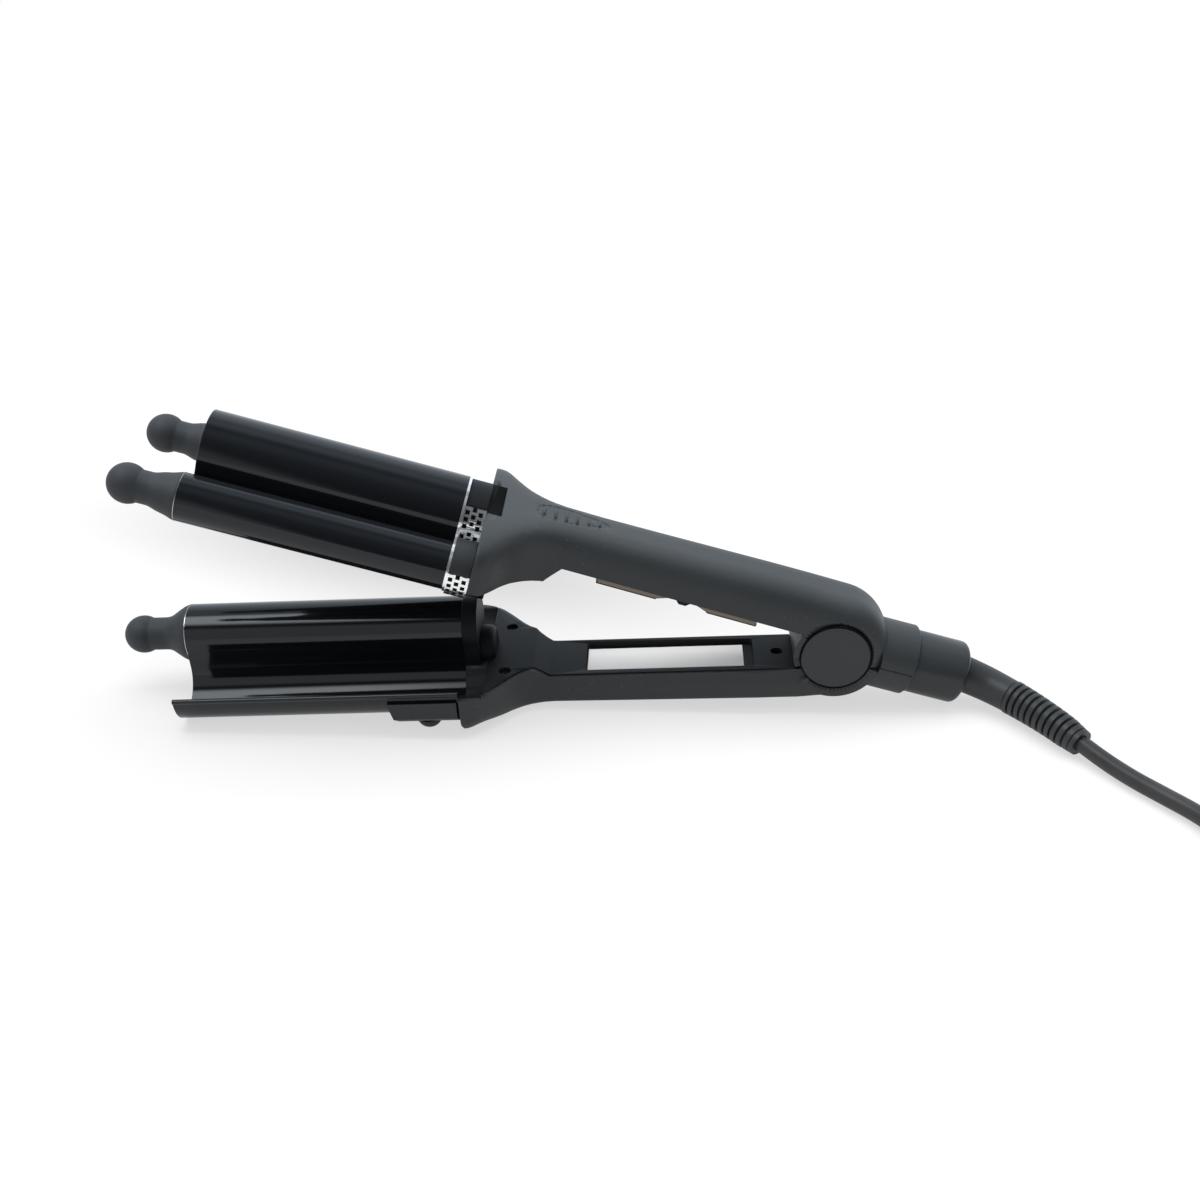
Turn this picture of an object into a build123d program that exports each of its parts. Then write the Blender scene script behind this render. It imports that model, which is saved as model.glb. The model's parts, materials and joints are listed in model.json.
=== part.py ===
"""Hair waver with a three-barrel jaw: two hinged arms, sprung keys, and a cord on a swivel.

Both arms are modelled closed, in one arm frame: the hinge axis is Y through the origin, the
tips point to -X, and +Z is up. Each arm is then tilted about the hinge and set on the table.
"""
from build123d import *
import math
import os

os.makedirs("parts", exist_ok=True)

# ---- stance on the table (degrees, mm)
OPEN_ANGLE = 18.6
LOWER_TILT = -3.27
HINGE_X = 108.25
HINGE_Z = 25.17

# ---- jaw
BARREL_R = 11.0
BARREL_Z = 10.9
TUBE_R = 8.7
TUBE_Y = 22.0
TUBE_Z = 1.6
ARCH_R = 13.9
ARCH_Z = 11.5
SHEET = 1.2
TROUGH_R = 11.4
LOWER_FRONT = -243.2
UPPER_FRONT = -241.0
TIP_R = 7.2
COLLAR_ARCH_R = 12.75
COLLAR_TUBE_R = 9.9
SADDLE = 0.65

# ---- heads and handles
HALF_W = 13.8
UPPER_HEAD_X = -137.5
LOWER_HEAD_X = -138.0
HEAD_SPLIT = 0.3
UPPER_SPLIT = 0.6
UPPER_FACE = 5.6
FACE_TILT = 0.9
FACE_DROP = 0.2
LOWER_FACE = -4.95
RIM = 1.7
RIM_DROP = 0.6
UPPER_PLAN = [(-137.5, 36.9), (-133.8, 36.6), (-130.4, 32.8), (-127.0, 26.9),
              (-123.3, 22.0), (-118.7, 17.9), (-113.0, 14.8), (-106.0, 13.8)]
LOWER_PLAN = [(-138.0, 35.7), (-133.0, 34.7), (-128.5, 32.0), (-124.0, 27.2),
              (-119.5, 21.7), (-116.0, 18.0), (-112.0, 15.2), (-106.0, 13.8)]
# Stations of the upper body: x, half width, crown height, squareness of the section.
UPPER_STATIONS = [(-137.5, 36.5, 20.1, 5.0), (-136.9, 36.9, 20.35, 5.0), (-135.2, 36.85, 20.35, 5.0),
                  (-133.8, 36.5, 20.35, 5.0), (-132.1, 35.1, 20.4, 4.9), (-130.4, 32.6, 20.45, 4.9),
                  (-128.7, 29.8, 20.5, 5.0), (-127.0, 26.9, 20.55, 5.2), (-125.2, 24.3, 20.6, 5.2),
                  (-123.3, 22.0, 20.65, 5.2), (-121.0, 19.8, 20.75, 5.1), (-118.7, 17.9, 20.85, 5.0),
                  (-115.9, 16.1, 20.95, 4.9), (-113.0, 14.8, 21.05, 4.8), (-109.5, 14.0, 21.15, 4.5),
                  (-105.0, 13.8, 21.2, 4.3), (-95.0, 13.8, 21.2, 3.9), (-75.0, 13.8, 21.2, 3.8),
                  (-30.0, 13.8, 21.2, 3.8), (-15.0, 13.8, 21.0, 3.9), (0.0, 13.8, 20.6, 4.0)]
# The same for the lower body, with its depth below the arm's plane.
LOWER_STATIONS = [(-138.0, 35.2, 16.0, 6.0), (-137.2, 35.7, 16.7, 6.0), (-135.8, 35.5, 16.7, 6.0),
                  (-134.0, 35.0, 16.7, 5.4), (-132.0, 34.1, 16.75, 4.7), (-130.0, 32.9, 16.8, 4.4),
                  (-128.5, 31.8, 16.8, 4.4), (-127.0, 30.5, 16.8, 4.55), (-125.5, 28.9, 16.8, 4.85),
                  (-124.0, 27.2, 16.8, 5.2), (-122.5, 25.4, 16.85, 5.5), (-121.0, 23.5, 16.9, 5.8),
                  (-119.5, 21.7, 16.95, 6.4), (-118.0, 20.0, 17.0, 7.0), (-116.0, 18.0, 17.1, 8.0),
                  (-114.0, 16.7, 17.05, 9.0), (-112.0, 15.8, 17.0, 10.0), (-109.0, 15.1, 16.8, 11.0),
                  (-105.0, 14.8, 16.65, 12.0), (-75.0, 14.8, 17.05, 12.0), (-40.0, 14.8, 17.45, 12.0),
                  (-28.0, 14.8, 17.6, 12.0), (-14.0, 13.8, 18.25, 12.0), (-4.0, 13.8, 17.6, 12.0), (0.0, 13.8, 17.0, 12.0)]

# ---- hinge
PIN_R = 3.0
RUN_FIT = 0.06
EAR_R = 13.0
DISC_R = 13.4
KNUCKLE_R = 12.7
KNUCKLE_Y = 9.6
EAR_Y0 = 9.9
EAR_Y1 = 12.3
CAP_Y1 = 14.05
FRONT_RING_R = 15.5
DRUM_R = 17.1

# ---- swivel
SWIVEL_Z = -0.6
COLLAR_R = 13.4
COLLAR_X0 = 15.0
COLLAR_X1 = 30.8
SWIVEL_R = 11.95
SWIVEL_X0 = 31.1
SWIVEL_X1 = 51.4
SPIGOT_R = 8.0

# ---- cord (world frame)
CORD_D = 6.3
COIL_X = 274.0
COIL_Y = -97.0
COIL_MID_R = 37.5
COIL_HALF_W = 10.0
COIL_Z0 = 0.9
COIL_Z1 = 14.6
TIE_ANGLE = 62.0

LOWER = Pos(HINGE_X, 0, HINGE_Z) * Rot(0, LOWER_TILT, 0)
UPPER = Pos(HINGE_X, 0, HINGE_Z) * Rot(0, LOWER_TILT + OPEN_ANGLE, 0)
NODES = {}
FACE_PLACE = Pos(0, 0, -FACE_DROP) * Rot(0, FACE_TILT, 0)


def keep(name, shape):
    """Store one finished node."""
    NODES[name] = shape


def box(x0, x1, y0, y1, z0, z1):
    return Pos((x0 + x1) / 2, (y0 + y1) / 2, (z0 + z1) / 2) * Box(x1 - x0, y1 - y0, z1 - z0)


def ycyl(r, half, x=0.0, z=0.0):
    return Pos(x, 0, z) * Rot(90, 0, 0) * Cylinder(r, 2 * half)


def xcyl(r, x0, x1, y=0.0, z=0.0):
    return Pos((x0 + x1) / 2, y, z) * Rot(0, 90, 0) * Cylinder(r, x1 - x0)


def along_x(sketch, x0, x1):
    """Extrude a sketch drawn in (y, z) from x0 to x1."""
    return extrude(Plane.YZ.offset(x0) * sketch, amount=x1 - x0)


def across_y(points, half):
    """Extrude a polygon drawn in (x, z) over -half..half in y."""
    face = make_face(Plane.XZ * Polyline(*points, close=True))
    return extrude(face, amount=half, both=True)


def wedge(a0, a1, half, r=60.0):
    """Sector about the hinge axis, from angle a0 to a1 in degrees, 0 along +X and 90 up."""
    steps = max(2, int(abs(a1 - a0) / 20) + 1)
    pts = [(0.0, 0.0)]
    for i in range(steps + 1):
        a = math.radians(a0 + (a1 - a0) * i / steps)
        pts.append((r * math.cos(a), r * math.sin(a)))
    return across_y(pts, half)


def arc_ring(y, z, r0, r1, a0, a1, x0, x1):
    """Part of a tube along x: radii r0..r1 about (y, z), from angle a0 to a1."""
    ring = Pos(y, z) * (Circle(r1) - Circle(r0))
    pts = [(y, z)]
    steps = max(2, int(abs(a1 - a0) / 20) + 1)
    for i in range(steps + 1):
        a = math.radians(a0 + (a1 - a0) * i / steps)
        pts.append((y + 3 * r1 * math.cos(a), z + 3 * r1 * math.sin(a)))
    cut = make_face(Polyline(*pts, close=True))
    return along_x(ring & cut, x0, x1)


def inset(points, d):
    """Half outline moved inwards by d along its own normals."""
    out = []
    for i, (x, w) in enumerate(points):
        a = points[max(i - 1, 0)]
        b = points[min(i + 1, len(points) - 1)]
        tx, tw = b[0] - a[0], b[1] - a[1]
        n = math.hypot(tx, tw)
        out.append((x + d * tw / n, w - d * tx / n))
    return out


def plan_prism(points, x0, x1, z0, z1, d=0.0):
    """Symmetric plan outline as a prism, cut off at x0 and x1."""
    pts = inset(points, d) if d else points
    right = Spline(*[Vector(x, w) for x, w in pts], tangents=[(1, -0.02), (1, 0)])
    left = Spline(*[Vector(x, -w) for x, w in pts], tangents=[(1, 0.02), (1, 0)])
    last = pts[-1]
    first = pts[0]
    rear = 25.0
    edges = [right, Line(last, (rear, last[1])), Line((rear, last[1]), (rear, -last[1])),
             Line((rear, -last[1]), (last[0], -last[1])), left,
             Line((first[0], -first[1]), first)]
    face = make_face(edges)
    prism = extrude(Pos(0, 0, z0) * face, amount=z1 - z0)
    return prism & box(x0, x1, -60, 60, z0 - 1, z1 + 1)


def face_z(x):
    """Height of the upper arm's inner face, which drops a little towards the hinge."""
    return UPPER_FACE - FACE_DROP - x * math.sin(math.radians(FACE_TILT))


def station_face(x, w, top, n, sign=1, half_steps=7):
    """Closed section at x: a flat base at z = 0 under a squared-off arch of exponent n."""
    pts = []
    for i in range(-half_steps, half_steps + 1):
        t = math.pi / 2 * (1 - abs(i) / half_steps)
        y = w * math.cos(t) ** (2 / n) if i else 0.0
        z = top * math.sin(t) ** (2 / n) if abs(i) < half_steps else 0.0
        pts.append(Vector(x, math.copysign(y, i) if i else 0.0, sign * z))
    return make_face([Spline(*pts), Line(pts[-1], pts[0])])


def head_hollow(stations, wall, sign=1):
    """Space inside a head: the outer stations from x = -129 to -105, moved in by the wall."""
    rows = [row for row in stations if -129.5 < row[0] < -104]
    return loft([station_face(x, w - wall, top - wall - 0.6, n, sign) for x, w, top, n in rows],
                ruled=True)


# ---------------------------------------------------------------- upper arm

def upper_profile(grow=0.0, hollow=True):
    """Jaw profile in (y, z): two tubes joined by the central arch."""
    r = ARCH_R + grow
    flank = Pos(0, (ARCH_Z + TUBE_Z) / 2) * Rectangle(2 * r, ARCH_Z - TUBE_Z)
    cap = (Pos(0, ARCH_Z) * Circle(r)) & (Pos(0, ARCH_Z + 20) * Rectangle(80, 40))
    shape = flank + cap
    if hollow:
        ri = ARCH_R - SHEET
        inner = Pos(0, ARCH_Z) * Circle(ri) + Pos(0, ARCH_Z - 10) * Rectangle(2 * ri, 20)
        shape = shape - inner
    for y in (-TUBE_Y, TUBE_Y):
        shape = shape + Pos(y, TUBE_Z) * Circle(TUBE_R + grow)
    return shape


def upper_shell():
    """Head, handle and hinge shoulder, hollow, with the slot for the flange."""
    body = loft([station_face(*row) for row in UPPER_STATIONS], ruled=True)
    under = across_y([(-150, -10), (-150, UPPER_SPLIT), (-111.8, UPPER_SPLIT),
                      (-106.4, face_z(-106.4)), (5, face_z(5)), (5, -10)], 60)
    body = body - under
    body = body - head_hollow(UPPER_STATIONS, 2.4) - box(-106, -104, -11, 11, 3, 14.4)
    body = body - box(-105, -18.5, -11.4, 11.4, 3, 14.4)
    body = body - box(-105, -18.5, -9.4, 9.4, 3, 17.8)
    pocket = plan_prism(UPPER_PLAN, -129.6, -15.6, -1, 12, RIM)
    body = body - (pocket & cover_zone(-2.0, 0.0))
    end = station_face(*UPPER_STATIONS[-1])
    shoulder = revolve(end, Axis.Y, 95)
    ring = ycyl(FRONT_RING_R, HALF_W - 1.9) & wedge(150, 217, 30)
    ring = ring + (ycyl(FRONT_RING_R, HALF_W - 0.05) & wedge(150, 197.5, 30))
    body = body + shoulder + ring + (ycyl(17.0, HALF_W - 2.4) & wedge(60, 162, 30))
    body = body + (ycyl(15.6, HALF_W - 0.05) & wedge(85, 162, 30))
    body = body - ycyl(DISC_R, 40)
    body = body + ycyl(KNUCKLE_R, KNUCKLE_Y)
    body = body + (ycyl(14.5, KNUCKLE_Y) & wedge(-5, 165, 30))
    body = body - ycyl(PIN_R, 40) - ycyl(6.5, 5.2)
    for y in (-TUBE_Y, TUBE_Y):
        body = body - xcyl(TUBE_R, -140, -131.2, y, TUBE_Z)
    body = body - box(-140, -132.0, -11.9, 11.9, -2, 40)
    body = body - box(-133, -125.2, -10.2, 10.2, -2, 13.2)
    return body - grip_blank()


def grip_blank(gap=0.0):
    """Teardrop prism that the thumb grip fills, less a narrow gap round it."""
    nose = -92.0 - 2 * gap
    wide = 5.0 - gap
    right = Spline(Vector(-114.5, wide), Vector(-106, 4.6 - gap), Vector(-97, 2.2 - gap),
                   Vector(nose, 0), tangents=[(1, 0), (1, -0.55)])
    left = mirror(right, Plane.XZ)
    back = ThreePointArc((-114.5, wide), (-119.5 + gap, 0), (-114.5, -wide))
    face = make_face([right, left, back])
    return extrude(Pos(0, 0, 18.9) * face, amount=6)


def thumb_grip():
    """Low pad with six ribs."""
    pad = grip_blank(0.14) & loft([station_face(*row) for row in UPPER_STATIONS], ruled=True)
    for x, half in zip((-117.2, -113.0, -109.0, -105.0, -100.8, -96.8),
                       (2.9, 3.9, 4.0, 3.6, 2.6, 1.6)):
        pad = pad + ycyl(0.65, half, x, min(20.95, 20.75 + 0.025 * (x + 120)))
    return pad


def cover_zone(low, thick):
    """Space of the upper arm's inner plate, seen from the side; low is added below its face."""
    back = 1.6
    return across_y([(-150, UPPER_SPLIT + low), (-111.8, UPPER_SPLIT + low),
                     (-106.4, face_z(-106.4) + low), (5, face_z(5) + low), (5, face_z(5) + back),
                     (-107.6, face_z(-107.6) + back), (-112.8, UPPER_SPLIT + 2.0 + thick),
                     (-150, UPPER_SPLIT + 2.0 + thick)], 60)


def upper_cover():
    """Inner closing plate of the upper arm, with windows for the keys."""
    plate = plan_prism(UPPER_PLAN, -129.6, -15.8, -1, 12, RIM) & cover_zone(0.0, 0.0)
    plate = plate - ycyl(18.1, 40)
    plate = plate - box(-133, -125.2, -10.2, 10.2, -2, 13.2)
    windows = box(-92.6, -63.2, -7.3, 7.3, 0, 9) + box(-56.4, -30.6, -7.3, 7.3, 0, 9)
    plate = plate - FACE_PLACE * windows
    for x, y in UPPER_SCREWS:
        plate = plate - Pos(x, y, 3) * Cylinder(2.0, 20)
    return plate


def tip(x_seat, r_seat, x_ball, y, z, r_neck):
    """Rubber ball on a neck that flares to the barrel."""
    x_meet = x_ball + math.sqrt(TIP_R ** 2 - r_neck ** 2)
    flare = Spline(Vector(x_seat, r_seat), Vector(x_seat - 3.4, r_seat * 0.84 + 0.4),
                   Vector(x_seat - 7.2, r_neck + 0.9), Vector(x_seat - 11.0, r_neck),
                   tangents=[(-1, -0.15), (-1, 0)])
    ball = ThreePointArc((x_meet, r_neck), (x_ball, TIP_R), (x_ball - TIP_R, 0))
    edges = [Line((x_seat, 0), (x_seat, r_seat)), flare, Line((x_seat - 11.0, r_neck), (x_meet, r_neck)),
             ball, Line((x_ball - TIP_R, 0), (x_seat, 0))]
    return Pos(0, y, z) * revolve(make_face(edges), Axis.X)


def heater(x0, x1, r_bore, y, z):
    """Ceramic rod centred in a tube by three collars."""
    rod = xcyl(r_bore * 0.55, x0, x1, y, z)
    for t in (0.03, 0.5, 0.97):
        x = x0 + (x1 - x0) * t
        rod = rod + xcyl(r_bore, x - 1.5, x + 1.5, y, z)
    return rod


def upper_plate():
    """Two tubes and the arch between them; the tubes run on into the head as necks."""
    bore = TUBE_R - SHEET
    plate = along_x(upper_profile(), -239.3, -145.2)
    for y in (-TUBE_Y, TUBE_Y):
        plate = plate + xcyl(TUBE_R, UPPER_FRONT, -131.2, y, TUBE_Z)
    for y in (-TUBE_Y, TUBE_Y):
        plate = plate - xcyl(bore, UPPER_FRONT - 1, -130, y, TUBE_Z)
    return plate


def trim_ring():
    """Thin bright ring round the rear end of the upper jaw profile."""
    return along_x(upper_profile(0.45, False) - upper_profile(0.0, False), -146.1, -145.2)


def collar_outline(ra, rt):
    """Collar profile in (y, z): tubes of radius rt joined by an arch of radius ra."""
    top = ARCH_Z - 0.1
    shape = Pos(0, (top + TUBE_Z) / 2) * Rectangle(2 * ra, top - TUBE_Z)
    shape = shape + ((Pos(0, top) * Circle(ra)) & (Pos(0, top + 20) * Rectangle(80, 40)))
    for y in (-TUBE_Y, TUBE_Y):
        shape = shape + Pos(y, TUBE_Z) * Circle(rt)
    return shape


def collar():
    """Perforated chrome collar: three staggered columns of square holes."""
    top = ARCH_Z - 0.1
    inner = Pos(0, top) * Circle(11.95) + Pos(0, top - 12) * Rectangle(23.9, 24)
    for y in (-TUBE_Y, TUBE_Y):
        inner = inner + Pos(y, TUBE_Z) * Circle(TUBE_R)
    ring = along_x(collar_outline(COLLAR_ARCH_R, COLLAR_TUBE_R) - inner, -145.2, -137.5)
    holes = []
    for col, x in enumerate((-144.0, -141.6, -139.2)):
        shift = 0.5 if col == 1 else 0.0
        for side in (-1, 1):
            for k in range(10):
                a = -166 + 15.5 * (k + shift)
                y = side * TUBE_Y
                turn = Rot(-side * (a + 90), 0, 0)
                holes.append(Pos(x, y, TUBE_Z) * turn * Pos(0, 0, -9.4) * Box(1.15, 1.25, 2.4))
            for k in range(3):
                z = 3.4 + 2.5 * (k + shift)
                holes.append(Pos(x, side * 12.4, z + 1.0) * Box(1.15, 2.4, 1.25))
            for k in range(3):
                a = -side * (81 - 11.5 * (k + shift))
                holes.append(Pos(x, 0, top) * Rot(a, 0, 0) * Pos(0, 0, 12.4) * Box(1.15, 1.25, 2.4))
    return ring - holes


def pod():
    """Low frame below the inner face that guides both keys."""
    frame = box(-94.2, -29.2, -8.8, 8.8, 3.0, UPPER_FACE)
    frame = chamfer(frame.edges().group_by(Axis.Z)[0], 0.5)
    bulge = across_y([(-63.4, 3.2), (-61.0, 0.9), (-58.4, 0.9), (-55.9, 3.2)], 7.4)
    frame = frame + bulge
    frame = frame - box(-92.6, -63.2, -7.3, 7.3, -2, 9) - box(-56.4, -30.6, -7.3, 7.3, -2, 9)
    return frame - Pos(-59.7, 0, 2.5) * Cylinder(1.3, 20)


def key(x0, x1, taper_at_end):
    """Bronze rocker strip; one end tapers up to the pod's middle."""
    z0, z1 = -0.8, 5.2
    t = 6.0
    if taper_at_end:
        pts = [(x0, z1), (x0, z0), (x1 - t, z0), (x1, z0 + 2.6), (x1, z1)]
    else:
        pts = [(x0, z1), (x0, z0 + 2.6), (x0 + t, z0), (x1, z0), (x1, z1)]
    return across_y(pts, 7.0)


UPPER_SCREWS = [(-122.7, 12.2), (-122.7, -12.2), (-23.2, 0.0)]
LOWER_SCREWS = [(-122.7, 15.9), (-122.7, -15.9), (-20.8, 0.0)]


def upper_screws():
    parts = []
    for x, y in UPPER_SCREWS:
        face = UPPER_SPLIT if x < -110 else face_z(x)
        shank = Pos(x, y, face + 3.4) * Cylinder(2.0, 5.2)
        parts.append(shank - Pos(x, y, face + 0.8) * Box(3.0, 0.7, 1.0))
    return parts


def swivel_collar():
    """Rear collar on the shoulder; its lower half clears the lower drum."""
    body = xcyl(COLLAR_R, COLLAR_X0, COLLAR_X1, 0, SWIVEL_Z)
    body = chamfer(body.edges().group_by(Axis.X)[-1], 0.8)
    body = body - revolve(station_face(*UPPER_STATIONS[-1]), Axis.Y, 95)
    body = body - ycyl(17.4, 40) - xcyl(SPIGOT_R + RUN_FIT, 20, 40, 0, SWIVEL_Z)
    seam = box(14, 30, -20, 20, -0.14, 0.14) - xcyl(COLLAR_R - 0.45, 10, 40, 0, SWIVEL_Z)
    return body - seam


def build_upper():
    keep("upper_handle_shell", upper_shell())
    keep("upper_inner_cover", upper_cover())
    keep("upper_wave_plate", upper_plate())
    keep("upper_trim_ring", trim_ring())
    keep("upper_collar", collar())
    keep("collar_saddle_arch", arc_ring(0, ARCH_Z - 0.1, COLLAR_ARCH_R, COLLAR_ARCH_R + SADDLE, 42, 138,
                                        -145.2, -137.5))
    keep("collar_saddle_rear", arc_ring(TUBE_Y, TUBE_Z, COLLAR_TUBE_R, COLLAR_TUBE_R + SADDLE,
                                        14, 112, -145.2, -137.5))
    keep("collar_saddle_front", arc_ring(-TUBE_Y, TUBE_Z, COLLAR_TUBE_R, COLLAR_TUBE_R + SADDLE,
                                         68, 166, -145.2, -137.5))
    keep("upper_tip_front", tip(UPPER_FRONT, TUBE_R, -259.2, -TUBE_Y, TUBE_Z, 5.9))
    keep("upper_tip_rear", tip(UPPER_FRONT, TUBE_R, -259.2, TUBE_Y, TUBE_Z, 5.9))
    keep("upper_heater_front", heater(-236, -134, TUBE_R - SHEET, -TUBE_Y, TUBE_Z))
    keep("upper_heater_rear", heater(-236, -134, TUBE_R - SHEET, TUBE_Y, TUBE_Z))
    keep("control_pod", FACE_PLACE * pod())
    keep("indicator_lens", FACE_PLACE * Pos(-59.7, 0, 2.9) * Cylinder(1.3, 4.4))
    board = box(-96, -28, -9, 9, 9.2, 10.6)
    for x in (-94.5, -29.5):
        board = board + box(x - 0.9, x + 0.9, -8, 8, 7.2, 9.2)
    keep("circuit_board", FACE_PLACE * board)
    keep("upper_cover_screws", upper_screws())
    keep("thumb_grip", thumb_grip())
    keep("hinge_pin", ycyl(PIN_R, EAR_Y1 - 0.05))
    keep("opening_spring", ycyl(6.2, 4.9) - ycyl(PIN_R + 0.3, 10))
    keep("swivel_collar", swivel_collar())
    keep("power_key", FACE_PLACE * key(-92.3, -63.5, True))
    keep("temperature_key", FACE_PLACE * key(-56.1, -30.9, False))


# ---------------------------------------------------------------- lower arm

def lower_profile():
    """Jaw profile in (y, z): the barrel and a trough on each side."""
    shape = Pos(0, BARREL_Z) * Circle(BARREL_R)
    for s in (-1, 1):
        ring = Pos(s * TUBE_Y, TUBE_Z) * (Circle(TROUGH_R + SHEET) - Circle(TROUGH_R))
        half = ring & (Pos(s * TUBE_Y, TUBE_Z - 15) * Rectangle(60, 30))
        y = s * (TUBE_Y - TROUGH_R - SHEET / 2)
        flank = Pos(y, (TUBE_Z + 9.5) / 2) * Rectangle(SHEET, 9.5 - TUBE_Z)
        lip = Pos(s * (TUBE_Y + TROUGH_R + 0.75), TUBE_Z) * Circle(0.95)
        shape = shape + half + flank + lip
    return shape - Pos(0, BARREL_Z) * Circle(BARREL_R - SHEET)


def lower_flange_shape():
    """Upright end plate round the barrel, drawn in (y, z)."""
    r = BARREL_R + 0.5
    return Pos(0, BARREL_Z) * Circle(r) + Pos(0, 4.45) * Rectangle(2 * r - 1.4, 12.9)


def lower_shell():
    """Lower head and handle, hollow, with the drum round the hinge."""
    body = loft([station_face(*row, sign=-1) for row in LOWER_STATIONS], ruled=True)
    d = RIM_DROP
    over = across_y([(-150, 5), (-150, -HEAD_SPLIT - d), (-113.2, -HEAD_SPLIT - d),
                     (-106.7, LOWER_FACE - d), (5, LOWER_FACE - d), (5, 5)], 60)
    body = body - over
    body = body - head_hollow(LOWER_STATIONS, 2.4, -1)
    body = body - box(-105.5, -18.5, -11.4, 11.4, -14.2, 0)
    body = body - plan_prism(LOWER_PLAN, -129.6, -12, -9.2, 5, RIM)
    body = body + (ycyl(DRUM_R, HALF_W) & wedge(-141, -25, 30))
    body = body - (ycyl(FRONT_RING_R + 0.35, 40) & wedge(130, 199, 45))
    body = body - (ycyl(FRONT_RING_R + 0.35, HALF_W - 1.6) & wedge(150, 219, 45))
    body = body - ycyl(DISC_R, 40)
    ears = ycyl(EAR_R, EAR_Y1) - ycyl(EAR_R + 1, EAR_Y0)
    links = (ycyl(14.5, EAR_Y1) - ycyl(20, EAR_Y0)) & wedge(-141, -25, 30)
    body = body + ears + links - ycyl(PIN_R + RUN_FIT, 40)
    for s in (-1, 1):
        body = body - xcyl(TROUGH_R, -139, -130.0, s * TUBE_Y, TUBE_Z)
        body = body - box(-139, -130, s * 34.4 - 1.2, s * 34.4 + 1.2, 1, 6)
    body = body - along_x(lower_flange_shape(), -139, -132.4)
    return body


def lower_cover():
    """Inner plate of the lower arm with the label recess and screw holes."""
    plate = plan_prism(LOWER_PLAN, -129.6, -12, -9.2, 1, RIM)
    zone = across_y([(-150, -HEAD_SPLIT), (-113, -HEAD_SPLIT), (-106.5, LOWER_FACE),
                     (0, LOWER_FACE), (0, -8.8), (-107.6, -8.8), (-114.4, -3.4), (-150, -3.4)], 60)
    plate = plate & zone
    plate = plate - ycyl(FRONT_RING_R + 0.35, 40)
    recess = box(-93.2, -29.5, -9.7, 9.7, LOWER_FACE - 2.2, 0)
    recess = fillet(recess.edges().filter_by(Axis.Z), 1.2)
    plate = plate - recess
    for x, y in LOWER_SCREWS:
        plate = plate - Pos(x, y, -5) * Cylinder(2.3, 20)
    return plate


def lower_screws():
    parts = []
    for x, y in LOWER_SCREWS:
        face = -HEAD_SPLIT if x < -110 else LOWER_FACE
        shank = Pos(x, y, face - 4.0) * Cylinder(2.3, 4.4)
        parts.append(shank - Pos(x, y, face - 1.9) * Box(3.2, 0.8, 1.0))
    return parts


def bracket():
    """Saddle round the outer sides of the troughs, with two feet cut flat where they stand."""
    body = box(-145.0, -139.2, -20, 20, -13.6, -11.2)
    for s in (-1, 1):
        pts = [(s * 14.0, -9.0), (s * 35.4, -1.4), (s * 35.4, -8.0), (s * 31.2, -11.5),
               (s * 26.0, -13.0), (s * 18.0, -13.6), (s * 14.0, -13.6)]
        side = make_face(Polyline(*[(y, z) for y, z in pts], close=True))
        side = side - Pos(s * TUBE_Y, TUBE_Z) * Circle(TROUGH_R + SHEET)
        block = along_x(side, -165.3, -138.8)
        slope = across_y([(-170, 2), (-165.3, 2), (-160.0, -16), (-170, -16)], 60)
        body = body + (block - slope)
        foot = Pos(-151.0, s * 25.0, -12.6) * Sphere(4.9)
        body = body + (foot & box(-160, -145, -40, 40, -18.2, -12.9))
    return body


def barrel_boss():
    """Rounded boss behind the flange, standing on the inner plate."""
    face = Pos(0, 1.0) * Circle(8.2) & (Pos(0, 9.7) * Rectangle(30, 20))
    boss = along_x(face, -132.4, -126.9)
    rear = boss.edges().group_by(Axis.X)[-1]
    arc = [e for e in rear if e.length > 17]
    return fillet(arc, 2.6)


def build_lower():
    keep("lower_handle_shell", lower_shell())
    keep("lower_inner_cover", lower_cover())
    keep("lower_wave_plate", along_x(lower_profile(), LOWER_FRONT, LOWER_HEAD_X))
    keep("lower_tip", tip(LOWER_FRONT, BARREL_R, -262.5, 0, BARREL_Z, 6.2))
    keep("lower_flange", along_x(lower_flange_shape(), LOWER_HEAD_X, -132.4))
    keep("lower_barrel_boss", barrel_boss())
    keep("lower_heater", heater(-240, -139, BARREL_R - SHEET, 0, BARREL_Z))
    keep("jaw_rest_bracket", bracket())
    keep("rating_label", box(-92.6, -33.4, -8.5, 8.5, LOWER_FACE - 2.2, LOWER_FACE - 2.05))
    keep("lower_cover_screws", lower_screws())
    for name, s in (("hinge_cap_front", -1), ("hinge_cap_rear", 1)):
        disc = Pos(0, s * (EAR_Y1 + CAP_Y1) / 2, 0) * Rot(90, 0, 0) * Cylinder(EAR_R, CAP_Y1 - EAR_Y1)
        rim = disc.edges().sort_by(Axis.Y)[0 if s < 0 else -1]
        keep(name, chamfer(rim, 0.35))


# ---------------------------------------------------------------- swivel and cord

# Route points of the cord in the world frame, mm. The sleeve covers the first stretch.
SLEEVE_ROUTE = [(157.9, 0.0, 11.2), (165.2, -2.0, 9.0), (172.4, -7.0, 7.6), (178.8, -14.0, 7.1),
                (184.4, -21.6, 6.9), (189.9, -29.0, 6.2), (195.4, -36.9, 5.0)]
LEAD_ROUTE = [(195.4, -36.9, 5.0), (201.6, -45.6, 3.8), (208.6, -55.0, 3.3), (216.4, -64.2, 3.4),
              (225.2, -74.2, 3.3), (231.2, -86.4, 4.0)]
TAIL_ROUTE = [(274.0, -141.3, 10.3), (293.0, -142.3, 8.8), (311.0, -139.0, 5.4), (327.0, -129.5, 4.0),
              (337.5, -115.0, 5.2), (342.0, -98.0, 7.0)]
PLUG = (342.0, -98.0, 7.0)


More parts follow.
